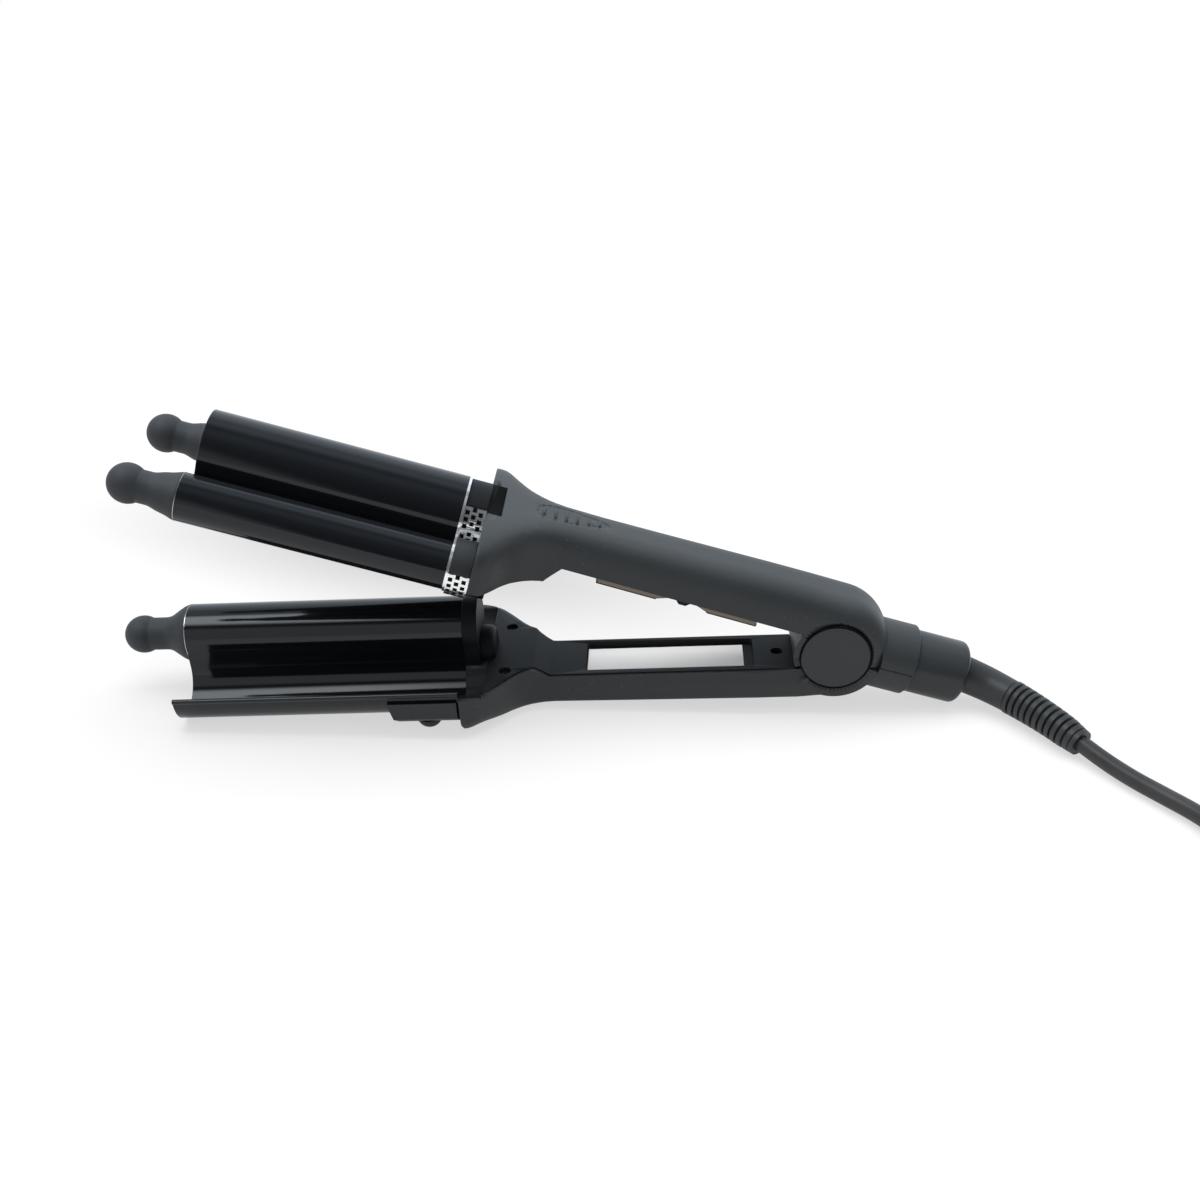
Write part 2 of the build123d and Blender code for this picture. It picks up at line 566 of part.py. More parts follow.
def bend_radii(points, label):
    """Arc radius at each corner: 0.45 of the shorter run over the tangent of half the turn."""
    radii = []
    for a, b, c in zip(points, points[1:], points[2:]):
        u = Vector(*b) - Vector(*a)
        v = Vector(*c) - Vector(*b)
        half = math.radians(u.get_angle(v)) / 2
        radii.append(0.45 * min(u.length, v.length) / math.tan(half))
    print(label, "arc radii mm:", [round(r, 1) for r in radii])
    return radii


def tube(points, diameter, label):
    """Round tube along straight runs joined by tangent arcs."""
    path = FilletPolyline(*points, radius=bend_radii(points, label))
    start = path.edges()[0]
    plane = Plane(origin=path @ 0, z_dir=path % 0)
    body = sweep(plane * Circle(diameter / 2), path=path)
    ideal = math.pi * diameter ** 2 / 4 * path.length
    print(label, "length mm", round(path.length, 1), "volume ratio", round(body.volume / ideal, 4))
    return body, path


def strain_relief():
    """Tapered sleeve over the cord: a plain cone, then ribs that get smaller."""
    path = FilletPolyline(*SLEEVE_ROUTE, radius=bend_radii(SLEEVE_ROUTE, "strain_relief"))
    total = path.length
    cuts = [0.0, 0.12, 0.24, 0.36, 0.48, 0.60, 0.72, 0.84, 1.0]
    sizes = [7.2, 7.0, 6.7, 6.4, 6.1, 5.9, 5.6, 5.0, 4.0]
    sections = []
    for t, r in zip(cuts, sizes):
        r = min(r, (path @ t).Z - 0.3)
        sections.append(Plane(origin=path @ t, z_dir=path % t) * Circle(r))
    body = loft(sections, ruled=True)
    for k in range(11):
        t = 0.40 + 0.052 * k
        r = min(6.9 if k < 6 else 6.6 - 0.3 * (k - 5), (path @ t).Z - 0.1)
        rib = Plane(origin=path @ t, z_dir=path % t) * Cylinder(r, 1.5)
        body = body + rib
    print("strain_relief length mm", round(total, 1))
    return body


def swivel_body():
    """Turning end that carries the cord, with the spigot that runs in the collar."""
    body = xcyl(SWIVEL_R, SWIVEL_X0, SWIVEL_X1, 0, SWIVEL_Z)
    body = fillet(body.edges().group_by(Axis.X)[-1], 2.3)
    body = body + xcyl(SPIGOT_R, 21.0, SWIVEL_X0, 0, SWIVEL_Z)
    return body


def plug():
    """Flat two-pin plug lying on the table, its pins pointing along +Y."""
    x, y, z = PLUG
    body = Pos(x, y + 20.0, z) * Box(26.0, 30.0, 13.0)
    body = fillet(body.edges().filter_by(Axis.Y), 4.0)
    neck = Pos(x, y + 2.6, z) * Rot(90, 0, 0) * Cylinder(4.8, 5.2)
    body = body + neck
    pins = []
    for s in (-1, 1):
        pins.append(Pos(x + s * 9.3, y + 44.5, z) * Rot(90, 0, 0) * Cylinder(2.0, 19.0))
    return body, pins


def build_cord():
    keep("swivel_body", UPPER * swivel_body())
    keep("strain_relief", strain_relief() - NODES["swivel_body"])
    outer = Pos(COIL_X, COIL_Y, (COIL_Z0 + COIL_Z1) / 2) * Cylinder(COIL_MID_R + COIL_HALF_W,
                                                                    COIL_Z1 - COIL_Z0)
    hole = Pos(COIL_X, COIL_Y, 10) * Cylinder(COIL_MID_R - COIL_HALF_W, 40)
    coil = outer - hole
    coil = fillet(coil.edges(), 3.0)
    lead, lead_path = tube(LEAD_ROUTE, CORD_D, "cord_lead")
    tail, tail_path = tube(TAIL_ROUTE, CORD_D, "cord_tail")
    keep("cord_coil", coil)
    keep("cord_lead", lead - coil - NODES["strain_relief"])
    body, pins = plug()
    keep("cord_tail", tail - coil - body)
    a = math.radians(TIE_ANGLE)
    cx = COIL_X + COIL_MID_R * math.cos(a)
    cy = COIL_Y + COIL_MID_R * math.sin(a)
    half = COIL_HALF_W + 0.8
    strap = Box(2 * half, 9.0, COIL_Z1 - COIL_Z0 + 1.6) - Box(2 * COIL_HALF_W + 0.02, 12.0,
                                                              COIL_Z1 - COIL_Z0 + 0.02)
    strap = Pos(cx, cy, (COIL_Z0 + COIL_Z1) / 2) * Rot(0, 0, TIE_ANGLE) * strap
    keep("cord_tie", strap - coil)
    keep("plug_body", body)
    keep("plug_pins", pins)


build_upper()
for name in list(NODES):
    shape = NODES[name]
    NODES[name] = [UPPER * s for s in shape] if isinstance(shape, list) else UPPER * shape
upper_done = set(NODES)
build_lower()
for name in list(NODES):
    if name not in upper_done:
        shape = NODES[name]
        NODES[name] = [LOWER * s for s in shape] if isinstance(shape, list) else LOWER * shape
NODES["jaw_rest_bracket"] = NODES["jaw_rest_bracket"] - box(-300, 300, -100, 100, -20, 0)
build_cord()

for name, shape in NODES.items():
    solids = []
    for item in (shape if isinstance(shape, list) else [shape]):
        solids.extend(item.solids())
    out = solids[0] if len(solids) == 1 else Compound(children=solids)
    out.label = name
    export_step(out, os.path.join("parts", name + ".step"))
print(len(NODES), "nodes")
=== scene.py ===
"""Hair waver, open on a pale table: two hinged arms, a jaw of parallel barrels, a swivel cord."""
import json
import math

import bmesh
import bpy
from mathutils import Matrix, Vector


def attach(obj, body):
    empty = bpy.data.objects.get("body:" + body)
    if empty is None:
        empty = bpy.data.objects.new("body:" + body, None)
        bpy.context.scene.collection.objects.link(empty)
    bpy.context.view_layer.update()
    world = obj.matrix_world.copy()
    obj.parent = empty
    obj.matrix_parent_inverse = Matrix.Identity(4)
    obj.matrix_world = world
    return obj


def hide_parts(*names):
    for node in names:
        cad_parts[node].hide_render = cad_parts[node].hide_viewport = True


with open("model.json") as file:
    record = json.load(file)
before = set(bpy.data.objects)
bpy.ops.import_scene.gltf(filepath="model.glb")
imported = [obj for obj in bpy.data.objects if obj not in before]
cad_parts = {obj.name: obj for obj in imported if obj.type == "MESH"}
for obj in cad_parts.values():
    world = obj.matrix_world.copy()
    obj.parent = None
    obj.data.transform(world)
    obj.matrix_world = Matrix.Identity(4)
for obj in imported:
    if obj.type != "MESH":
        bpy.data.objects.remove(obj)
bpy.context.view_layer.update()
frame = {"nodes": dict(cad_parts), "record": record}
scene = bpy.context.scene
nodes = frame["nodes"]

# ---------------------------------------------------------------------------
# Camera: a 42 mm lens, a little above the tool and almost square to its side.
# It looks along minus camera_back, and camera_right lies level.
# ---------------------------------------------------------------------------
camera_data = bpy.data.cameras.new("camera")
camera_data.lens = 42.0
camera_data.sensor_width = 36.0
camera_data.clip_start = 0.01
camera = bpy.data.objects.new("camera", camera_data)
scene.collection.objects.link(camera)
camera_place = Vector((0.03713, -0.4549, 0.29866))
camera_back = Vector((0.03136, -0.86875, 0.49426))
camera_right = Vector((0.99934, 0.03644, 0.00064))
camera_up = camera_back.cross(camera_right)
camera_turn = Matrix((camera_right, camera_up, camera_back)).transposed().to_4x4()
camera.matrix_world = Matrix.Translation(camera_place) @ camera_turn
scene.camera = camera
scene.view_settings.view_transform = "Standard"

# ---------------------------------------------------------------------------
# Mains cord: 1.7 m of round black PVC flex, 6.3 mm thick. It leaves the swivel
# on the table, and the spare length is wound in a flat coil of two layers.
# ---------------------------------------------------------------------------
CORD_D = 0.0063
SLEEVE_ROUTE = [(0.1579, 0.0, 0.0112), (0.1652, -0.0020, 0.0090), (0.1724, -0.0070, 0.0076),
                (0.1788, -0.0140, 0.0071), (0.1844, -0.0216, 0.0069), (0.1899, -0.0290, 0.0062),
                (0.1954, -0.0369, 0.0050)]
LEAD_ROUTE = [(0.2016, -0.0456, 0.0038), (0.2086, -0.0550, 0.0033), (0.2164, -0.0642, 0.0034),
              (0.2252, -0.0742, 0.0033), (0.2312, -0.0864, 0.0040)]
TAIL_ROUTE = [(0.2740, -0.1413, 0.0103), (0.2930, -0.1423, 0.0088), (0.3110, -0.1390, 0.0054),
              (0.3270, -0.1295, 0.0040), (0.3375, -0.1150, 0.0052), (0.3420, -0.0980, 0.0070)]
COIL_CENTRE = (0.2740, -0.0970)
COIL_START = 166.0
COIL_END = 270.0 + 360.0 * 6
COIL_STEP = 24.0
COIL_TURNS = [(0.0439, 0.0042), (0.0375, 0.0042), (0.0311, 0.0042),
              (0.0311, 0.0105), (0.0375, 0.0105), (0.0439, 0.0105), (0.0446, 0.0104)]
LANE_HELD = 0.72
CURVE_PULL = 0.985


def coil_points():
    """Control points of the turns: each holds its lane, then slips into the next one.

    They stand a little outside the turns, because the curve runs inside its control points.
    """
    points = []
    for i in range(1, int((COIL_END - COIL_START) / COIL_STEP)):
        turn = i * COIL_STEP / 360.0
        lane = min(int(turn), len(COIL_TURNS) - 1)
        after = min(lane + 1, len(COIL_TURNS) - 1)
        t = max(0.0, (turn - lane - LANE_HELD) / (1.0 - LANE_HELD))
        t = t * t * (3 - 2 * t)
        r = COIL_TURNS[lane][0] * (1 - t) + COIL_TURNS[after][0] * t
        z = COIL_TURNS[lane][1] * (1 - t) + COIL_TURNS[after][1] * t
        a = math.radians(COIL_START + i * COIL_STEP)
        points.append((COIL_CENTRE[0] + r / CURVE_PULL * math.cos(a),
                       COIL_CENTRE[1] + r / CURVE_PULL * math.sin(a), z))
    return points


def smooth_line(name, points, bevel, resolution):
    """One open NURBS spline through the control points, with a round section."""
    data = bpy.data.curves.new(name, "CURVE")
    data.dimensions = "3D"
    data.bevel_depth = bevel
    data.bevel_resolution = 5
    data.resolution_u = resolution
    data.use_fill_caps = True
    spline = data.splines.new("NURBS")
    spline.points.add(len(points) - 1)
    for point, co in zip(spline.points, points):
        point.co = (*co, 1.0)
    spline.order_u = 3
    spline.use_endpoint_u = True
    obj = bpy.data.objects.new(name, data)
    scene.collection.objects.link(obj)
    return obj


def node_of(tree, kind, inputs=None, **settings):
    """One node: its settings, then each input as a link from a socket or as a plain value."""
    node = tree.nodes.new(kind)
    for key, value in settings.items():
        setattr(node, key, value)
    for socket, value in (inputs or {}).items():
        if isinstance(value, bpy.types.NodeSocket):
            tree.links.new(value, node.inputs[socket])
        else:
            node.inputs[socket].default_value = value
    return node


def new_material(name, colour, roughness, metallic=0.0, specular=0.5, grain=None):
    """Principled material, its uniform values on the shader itself.

    grain is the (scale, strength) of the fine texture of the skin, as bump in object space.
    """
    mat = bpy.data.materials.new(name)
    mat.use_nodes = True
    tree = mat.node_tree
    shader = tree.nodes["Principled BSDF"]
    shader.inputs["Base Color"].default_value = (*colour, 1.0)
    shader.inputs["Roughness"].default_value = roughness
    shader.inputs["Metallic"].default_value = metallic
    shader.inputs["Specular IOR Level"].default_value = specular
    if grain:
        coords = node_of(tree, "ShaderNodeTexCoord")
        noise = node_of(tree, "ShaderNodeTexNoise", {
            "Vector": coords.outputs["Object"], "Scale": grain[0], "Detail": 3.0})
        bump = node_of(tree, "ShaderNodeBump", {
            "Height": noise.outputs["Fac"], "Strength": grain[1], "Distance": 0.0002})
        tree.links.new(bump.outputs["Normal"], shader.inputs["Normal"])
    return mat


def vary_colour(mat, scale, low, high):
    """Slow drift of the colour over the surface, between two near tones."""
    tree = mat.node_tree
    coords = node_of(tree, "ShaderNodeTexCoord")
    noise = node_of(tree, "ShaderNodeTexNoise", {
        "Vector": coords.outputs["Object"], "Scale": scale, "Detail": 2.0})
    ramp = node_of(tree, "ShaderNodeValToRGB", {"Fac": noise.outputs["Fac"]})
    for stop, position, colour in zip(ramp.color_ramp.elements, (0.3, 0.7), (low, high)):
        stop.position = position
        stop.color = (*colour, 1.0)
    tree.links.new(ramp.outputs["Color"], tree.nodes["Principled BSDF"].inputs["Base Color"])


flex_mat = new_material("black_flex", (0.022, 0.022, 0.023), 0.42, grain=(900.0, 0.25))
vary_colour(flex_mat, 60.0, (0.018, 0.018, 0.019), (0.030, 0.030, 0.032))
cord_points = SLEEVE_ROUTE + LEAD_ROUTE + coil_points() + TAIL_ROUTE
cord = smooth_line("mains_cord", cord_points, CORD_D / 2, 6)
cord.data.materials.append(flex_mat)
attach(cord, "cord_end")
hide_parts("cord_lead", "cord_coil", "cord_tail")

# ---------------------------------------------------------------------------
# Table: a matt white sheet that keeps the tool's faint shadow, has a soft grey pool
# of painted shade behind the tool, and fades to plain white away from it. Gloss
# and glass see the white and the painted shade too, and plain surfaces get a soft
# grey from below.
# ---------------------------------------------------------------------------
FLOOR_HALF = 3.0
FLOOR_Z = -0.0003
# Painted shadow: the table's white glow greys in an ellipse behind the tool.
SHADE_POOL_CENTRE = (-0.07, 0.108, 0.0)
SHADE_POOL_REACH = (0.24, 0.078, 1.0)
SHADE_POOL_TURN = math.radians(-16)
SHADE_POOL_GREY = 0.36
floor_mesh = bpy.data.meshes.new("floor")
floor_mesh.from_pydata([(x * FLOOR_HALF, y * FLOOR_HALF, FLOOR_Z)
                        for x, y in ((-1, -1), (1, -1), (1, 1), (-1, 1))], [], [(0, 1, 2, 3)])
floor = bpy.data.objects.new("floor", floor_mesh)
scene.collection.objects.link(floor)
floor_mat = new_material("floor_white", (0.68, 0.68, 0.68), 0.6, specular=0.0)
floor_tree = floor_mat.node_tree
floor.data.materials.append(floor_mat)


def distance_from(coords):
    """Distance of each point of the floor from the centre of these coordinates."""
    length = node_of(floor_tree, "ShaderNodeVectorMath", {0: coords}, operation="LENGTH")
    return length.outputs["Value"]


floor_coords = node_of(floor_tree, "ShaderNodeTexCoord").outputs["Object"]
floor_distance = distance_from(floor_coords)
light_path = node_of(floor_tree, "ShaderNodeLightPath")
shade_pool = node_of(floor_tree, "ShaderNodeMapping", {
    "Vector": floor_coords, "Location": SHADE_POOL_CENTRE, "Rotation": (0.0, 0.0, SHADE_POOL_TURN),
    "Scale": SHADE_POOL_REACH}, vector_type="TEXTURE")
shade_pool_grey = node_of(floor_tree, "ShaderNodeMapRange", {
    "Value": distance_from(shade_pool.outputs["Vector"]), "To Min": SHADE_POOL_GREY},
    interpolation_type="SMOOTHSTEP")
# The table's white glow, greyed in the pool as painted shade.
white = node_of(floor_tree, "ShaderNodeEmission", {"Color": shade_pool_grey.outputs["Result"]})
bounce = node_of(floor_tree, "ShaderNodeEmission", {"Color": (0.24, 0.25, 0.26, 1.0)})
surface = floor_tree.nodes["Principled BSDF"]
# For each kind of ray: the share of glow under the tool, and the distances over which it grows.
for seen, low, near, far, glow in (("Is Camera Ray", 0.62, 0.24, 0.70, white),
                                   ("Is Glossy Ray", 0.45, 0.14, 0.40, white),
                                   ("Is Diffuse Ray", 0.55, 1.0, 3.0, bounce),
                                   ("Is Transmission Ray", 0.80, 0.30, 0.75, white)):
    share = node_of(floor_tree, "ShaderNodeMapRange", {
        "Value": floor_distance, "From Min": near, "From Max": far, "To Min": low},
        interpolation_type="SMOOTHSTEP")
    amount = node_of(floor_tree, "ShaderNodeMath", {
        0: light_path.outputs[seen], 1: share.outputs["Result"]}, operation="MULTIPLY")
    surface = node_of(floor_tree, "ShaderNodeMixShader", {
        "Fac": amount.outputs[0], 1: surface.outputs[0], 2: glow.outputs[0]})
floor_tree.links.new(surface.outputs[0], floor_tree.nodes["Material Output"].inputs["Surface"])

# ---------------------------------------------------------------------------
# Studio: a white hall, grey towards the floor for plain surfaces and in soft
# bands for gloss, with a panel and a light strip beyond the tips. Two wide
# lamps hang above and behind.
# ---------------------------------------------------------------------------
world = bpy.data.worlds.new("studio")
scene.world = world
world.use_nodes = True
world_tree = world.node_tree
world_coords = node_of(world_tree, "ShaderNodeTexCoord")
world_split = node_of(world_tree, "ShaderNodeSeparateXYZ", {0: world_coords.outputs["Generated"]})
world_path = node_of(world_tree, "ShaderNodeLightPath")


def hall_band(axis, stops, cool=0.0):
    """Grey level of the studio along one axis, from -1 to 1."""
    shift = node_of(world_tree, "ShaderNodeMapRange", {
        "Value": world_split.outputs[axis], "From Min": -1.0, "From Max": 1.0})
    ramp = node_of(world_tree, "ShaderNodeValToRGB", {"Fac": shift.outputs["Result"]})
    bands = ramp.color_ramp.elements
    while len(bands) < len(stops):
        bands.new(0.5)
    for band, (place, level) in zip(bands, stops):
        band.position = (place + 1) / 2
        band.color = (level * (1 - cool), level, level * (1 + cool), 1.0)
    return node_of(world_tree, "ShaderNodeBackground", {"Color": ramp.outputs["Color"]}).outputs[0]


def falloff(axis, near, full):
    """0 to 1 along one axis, from near to full."""
    return node_of(world_tree, "ShaderNodeMapRange", {
        "Value": world_split.outputs[axis], "From Min": near, "From Max": full},
        interpolation_type="SMOOTHSTEP").outputs["Result"]


def panel(strength, *sides):
    """A soft white panel beside the table, bounded by the fall-offs given."""
    amount = strength
    for side in sides:
        amount = node_of(world_tree, "ShaderNodeMath", {0: side, 1: amount},
                         operation="MULTIPLY").outputs[0]
    return node_of(world_tree, "ShaderNodeBackground", {"Strength": amount}).outputs[0]


def added(one, two):
    """The light of two backgrounds together."""
    return node_of(world_tree, "ShaderNodeAddShader", {0: one, 1: two}).outputs[0]


def seen_by(ray, others, own):
    """One background for a kind of ray, and another for all the rest."""
    return node_of(world_tree, "ShaderNodeMixShader", {
        "Fac": world_path.outputs[ray], 1: others, 2: own}).outputs[0]


lighting = hall_band("Z", [(-0.2, 0.06), (0.35, 0.20), (0.85, 1.0)])
gloss_hall = hall_band("Y", [(-0.9, 0.05), (-0.65, 0.08), (-0.48, 0.20), (-0.25, 0.28),
                             (-0.08, 0.12), (0.04, 0.12), (0.22, 0.66), (0.36, 0.78),
                             (0.48, 0.58), (0.72, 1.0)], cool=0.10)
left_panel = panel(0.85, falloff("X", -0.05, -0.18), falloff("Z", 0.70, 0.55),
                   falloff("Y", 0.1, -0.1))
left_strip = panel(6.0, falloff("X", -0.12, -0.30), falloff("Z", 0.74, 0.86),
                   falloff("Y", 0.2, 0.0))
backdrop = world_tree.nodes["Background"]
backdrop.inputs["Color"].default_value = (1.0, 1.0, 1.0, 1.0)
backdrop.inputs["Strength"].default_value = 1.0
gloss_light = added(added(gloss_hall, left_panel), left_strip)
studio_light = seen_by("Is Camera Ray", seen_by("Is Glossy Ray", lighting, gloss_light),
                       backdrop.outputs[0])
world_tree.links.new(studio_light, world_tree.nodes["World Output"].inputs["Surface"])


def soft_lamp(name, place, aim, width, depth, power):
    """A wide lamp that lights plain surfaces and doesn't show in gloss."""
    data = bpy.data.lights.new(name, "AREA")
    data.shape = "RECTANGLE"
    data.size = width
    data.size_y = depth
    data.energy = power
    lamp = bpy.data.objects.new(name, data)
    scene.collection.objects.link(lamp)
    turn = (Vector(aim) - Vector(place)).to_track_quat("-Z", "Y").to_matrix().to_4x4()
    lamp.matrix_world = Matrix.Translation(place) @ turn
    lamp.visible_glossy = False


soft_lamp("lamp_top", (0.0, 0.25, 1.3), (0, 0, 0), width=2.2, depth=1.0, power=26.0)
soft_lamp("lamp_back", (-0.2, 1.2, 0.9), (0, 0, 0.05), width=1.8, depth=0.7, power=3.0)

# ---------------------------------------------------------------------------
# Upper handle: head, handle and hinge shoulder in one moulding of charcoal
# plastic, with a satin soft-touch finish and faint mineral specks. The head has
# a slot for the flange of the lower arm. Its inside and the hollow behind it are
# painted black as shade, and the inner side of the knuckle takes the inner plates'
# black as painted shade.
# ---------------------------------------------------------------------------
UPPER_TILT = 15.33
LOWER_TILT = -3.27
hinge_axis = Matrix.Translation((0.10825, 0.0, 0.02517))
upper_place = hinge_axis @ Matrix.Rotation(math.radians(UPPER_TILT), 4, "Y")
lower_place = hinge_axis @ Matrix.Rotation(math.radians(LOWER_TILT), 4, "Y")
upper_back = upper_place.inverted()
body_of_node = {name: body for body, names in frame["record"]["behaviour"]["bodies"].items()
                for name in names}


def add_specks(mat, scale, share, colour):
    """Tiny pale mineral specks, in a share of the cells, thicker in some patches."""
    tree = mat.node_tree
    coords = node_of(tree, "ShaderNodeTexCoord").outputs["Object"]
    cells = node_of(tree, "ShaderNodeTexVoronoi", {"Vector": coords, "Scale": scale})
    patches = node_of(tree, "ShaderNodeTexNoise", {"Vector": coords, "Scale": scale * 0.06})
    cell_number = node_of(tree, "ShaderNodeSeparateColor", {0: cells.outputs["Color"]}).outputs[0]
    amount = 1.0
    for value, none, full in ((cells.outputs["Distance"], 0.22, 0.08),
                              (cell_number, 1.0 - share, 1.04 - share),
                              (patches.outputs["Fac"], 0.48, 0.66)):
        limit = node_of(tree, "ShaderNodeMapRange", {
            "Value": value, "From Min": none, "From Max": full})
        amount = node_of(tree, "ShaderNodeMath", {0: limit.outputs["Result"], 1: amount},
                         operation="MULTIPLY").outputs[0]
    base = tree.nodes["Principled BSDF"].inputs["Base Color"]
    mix = node_of(tree, "ShaderNodeMix", {
        "Factor": amount, "A": base.links[0].from_socket, "B": (*colour, 1.0)}, data_type="RGBA")
    tree.links.new(mix.outputs["Result"], base)


MERGE_GAP = 2e-6
FLAT_ANGLE = math.radians(0.6)
SQUARE_TO_HINGE = 0.999995


def as_plain_mesh(obj, name):
    """The evaluated shape of an object as one plain mesh; the object itself goes."""
    depsgraph = bpy.context.evaluated_depsgraph_get()
    shape = bpy.data.meshes.new_from_object(obj.evaluated_get(depsgraph))
    bpy.data.objects.remove(obj)
    shape.name = name
    piece = bpy.data.objects.new(name, shape)
    scene.collection.objects.link(piece)
    return piece


def finished(mat, *names, angle=32.0, edge=0.0, more=(), which=None, reshape=None):
    """Merge a node's triangles into one skin with soft shading, and let it stand for the node.

    edge rounds its hard edges by that much. more holds further materials, and which(face) picks
    one by number. reshape moves each point a little. Walls square to the hinge axis stay flat.
    """
    for name in names:
        mesh = bpy.data.meshes.new(name + "_skin")
        work = bmesh.new()
        work.from_mesh(nodes[name].data)
        bmesh.ops.remove_doubles(work, verts=work.verts, dist=MERGE_GAP)
        if edge:
            bmesh.ops.dissolve_limit(work, angle_limit=FLAT_ANGLE, verts=work.verts,
                                     edges=work.edges, use_dissolve_boundaries=False)
        for face in work.faces:
            face.smooth = abs(face.normal.y) < SQUARE_TO_HINGE
            face.material_index = which(face) if which else 0
        if reshape:
            for vert in work.verts:
                vert.co = reshape(vert.co)
        work.to_mesh(mesh)
        work.free()
        mesh.materials.clear()
        for own in (mat, *more):
            mesh.materials.append(own)
        mesh.set_sharp_from_angle(angle=math.radians(angle))
        skin = bpy.data.objects.new(name + "_work", mesh)
        scene.collection.objects.link(skin)
        if edge:
            round_edges = skin.modifiers.new("round_edges", "BEVEL")
            round_edges.width = edge
            round_edges.segments = 2
            round_edges.angle_limit = math.radians(angle)
        weigh = skin.modifiers.new("weigh_normals", "WEIGHTED_NORMAL")
        weigh.keep_sharp = True
        skin = as_plain_mesh(skin, name + "_skin")
        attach(skin, body_of_node[name])
        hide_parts(name)


SLOT_BACK = -0.1319
SLOT_FRONT = -0.13746
SLOT_HALF = 0.01195
HOLLOW_BACK = -0.1060
HOLLOW_HALF = 0.0108
HOLLOW_TOP = 0.0180
KNUCKLE_FRONT = -0.0180
KNUCKLE_BACK = -0.0100
KNUCKLE_TOP = 0.0057
KNUCKLE_HALF = 0.01379


def recess_painted_shade(face):
    """Painted shade: 1 in the head's slot and the hollow behind it, 2 on the knuckle's inner side.
    """
    x, y, z = upper_back @ face.calc_center_median()
    if SLOT_FRONT < x < SLOT_BACK and abs(y) < SLOT_HALF:
        return 1
    if SLOT_BACK < x < HOLLOW_BACK and abs(y) < HOLLOW_HALF and z < HOLLOW_TOP:
        return 1
    if KNUCKLE_FRONT < x < KNUCKLE_BACK and z < KNUCKLE_TOP and abs(y) < KNUCKLE_HALF:
        return 2
    return 0


grip_mat = new_material("charcoal_soft_touch", (0.034, 0.039, 0.043), 0.46, specular=0.34,
                        grain=(1400.0, 0.25))
vary_colour(grip_mat, 14.0, (0.030, 0.035, 0.038), (0.038, 0.043, 0.047))
add_specks(grip_mat, 850.0, 0.15, (0.17, 0.19, 0.20))
# Black as painted shade: the head's slot and hollow, behind the collar's holes, under the keys.
painted_shade_mat = new_material("painted_shade_black", (0.004, 0.004, 0.005), 0.6, specular=0.06,
                          grain=(1200.0, 0.2))
# A black darker than the shell's, partly painted shade for the faces between the arms.
inner_plate_and_shade_mat = new_material("inner_plate_black_and_shade", (0.013, 0.015, 0.017), 0.55, specular=0.16,
                         grain=(1100.0, 0.3))
finished(grip_mat, "upper_handle_shell", more=(painted_shade_mat, inner_plate_and_shade_mat), which=recess_painted_shade)

# ---------------------------------------------------------------------------
# Thumb grip: a ribbed teardrop of the handle's own plastic on the crown. It
# sits in a hair-fine groove, which the moulding fills to its edge.
# ---------------------------------------------------------------------------
GRIP_MIDDLE_X = -0.1056
GRIP_GROWTH = (1.011, 1.028)


def fill_groove(co):
    """The thumb grip grows about its middle, into the groove round it."""
    x, y, z = upper_back @ co
    return upper_place @ Vector((GRIP_MIDDLE_X + (x - GRIP_MIDDLE_X) * GRIP_GROWTH[0],
                                 y * GRIP_GROWTH[1], z))


finished(grip_mat, "thumb_grip", reshape=fill_groove)

# ---------------------------------------------------------------------------
# Lower handle, hinge caps and swivel collar: moulded in the same charcoal
# plastic. The caps are pressed into the ears of the lower handle, and the
# collar is fixed to the rear end of the upper one.
# ---------------------------------------------------------------------------
finished(grip_mat, "lower_handle_shell", "hinge_cap_front", "hinge_cap_rear", "swivel_collar")

# ---------------------------------------------------------------------------
# Swivel: a turned plastic barrel, semi-gloss, that sits in the collar at the
# end of the arms and lets the cord turn freely.
# ---------------------------------------------------------------------------
swivel_mat = new_material("swivel_semi_gloss", (0.033, 0.038, 0.042), 0.28, specular=0.3,
                          grain=(900.0, 0.2))
finished(swivel_mat, "swivel_body")

# ---------------------------------------------------------------------------
# Inner plates: matt black covers that close each arm on the side facing the
# other one, held by three screws. Their black, darker than the shell's, is partly
# painted shade for the inner faces between the arms. The lower one has the recess
# for the label.
# ---------------------------------------------------------------------------
finished(inner_plate_and_shade_mat, "upper_inner_cover", "lower_inner_cover")

# ---------------------------------------------------------------------------
# Hinge rings: a glossy black band in the joint round each hinge cap, painted
# shade for the dark gap there. It is broad over the top of the cap and a hair
# line below it.
# ---------------------------------------------------------------------------
RING_OUTER = 0.01336
RING_HAIR = 0.00022
RING_BROADER = 0.00055
RING_BROAD_AT = math.radians(75)
RING_BROAD_FROM = -0.62
RING_BROAD_RAMP = 0.6
RING_SEAT = 0.0139
RING_SHOULDER = 0.01408
RING_FACE = 0.0142
EDGE_BREAK = 0.0001


def turned_ring(work, place, section_at, steps=96):
    """Spin a closed section of (radius, along) points about the place's Y axis."""
    rows = []
    for i in range(steps):
        a = 2 * math.pi * i / steps
        rows.append([work.verts.new(place @ Vector((r * math.cos(a), y, r * math.sin(a))))
                     for r, y in section_at(a)])
    for one, two in zip(rows, rows[1:] + rows[:1]):
        for k in range(len(one)):
            j = (k + 1) % len(one)
            work.faces.new((one[k], one[j], two[j], two[k])).smooth = True


def worked_piece(name, work, mat, node):
    """Turn finished mesh work into a piece that rides with a CAD node."""
    bmesh.ops.recalc_face_normals(work, faces=work.faces)
    mesh = bpy.data.meshes.new(name)
    work.to_mesh(mesh)
    work.free()
    mesh.materials.append(mat)
    mesh.set_sharp_from_angle(angle=math.radians(40))
    piece = bpy.data.objects.new(name, mesh)
    scene.collection.objects.link(piece)
    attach(piece, body_of_node[node])


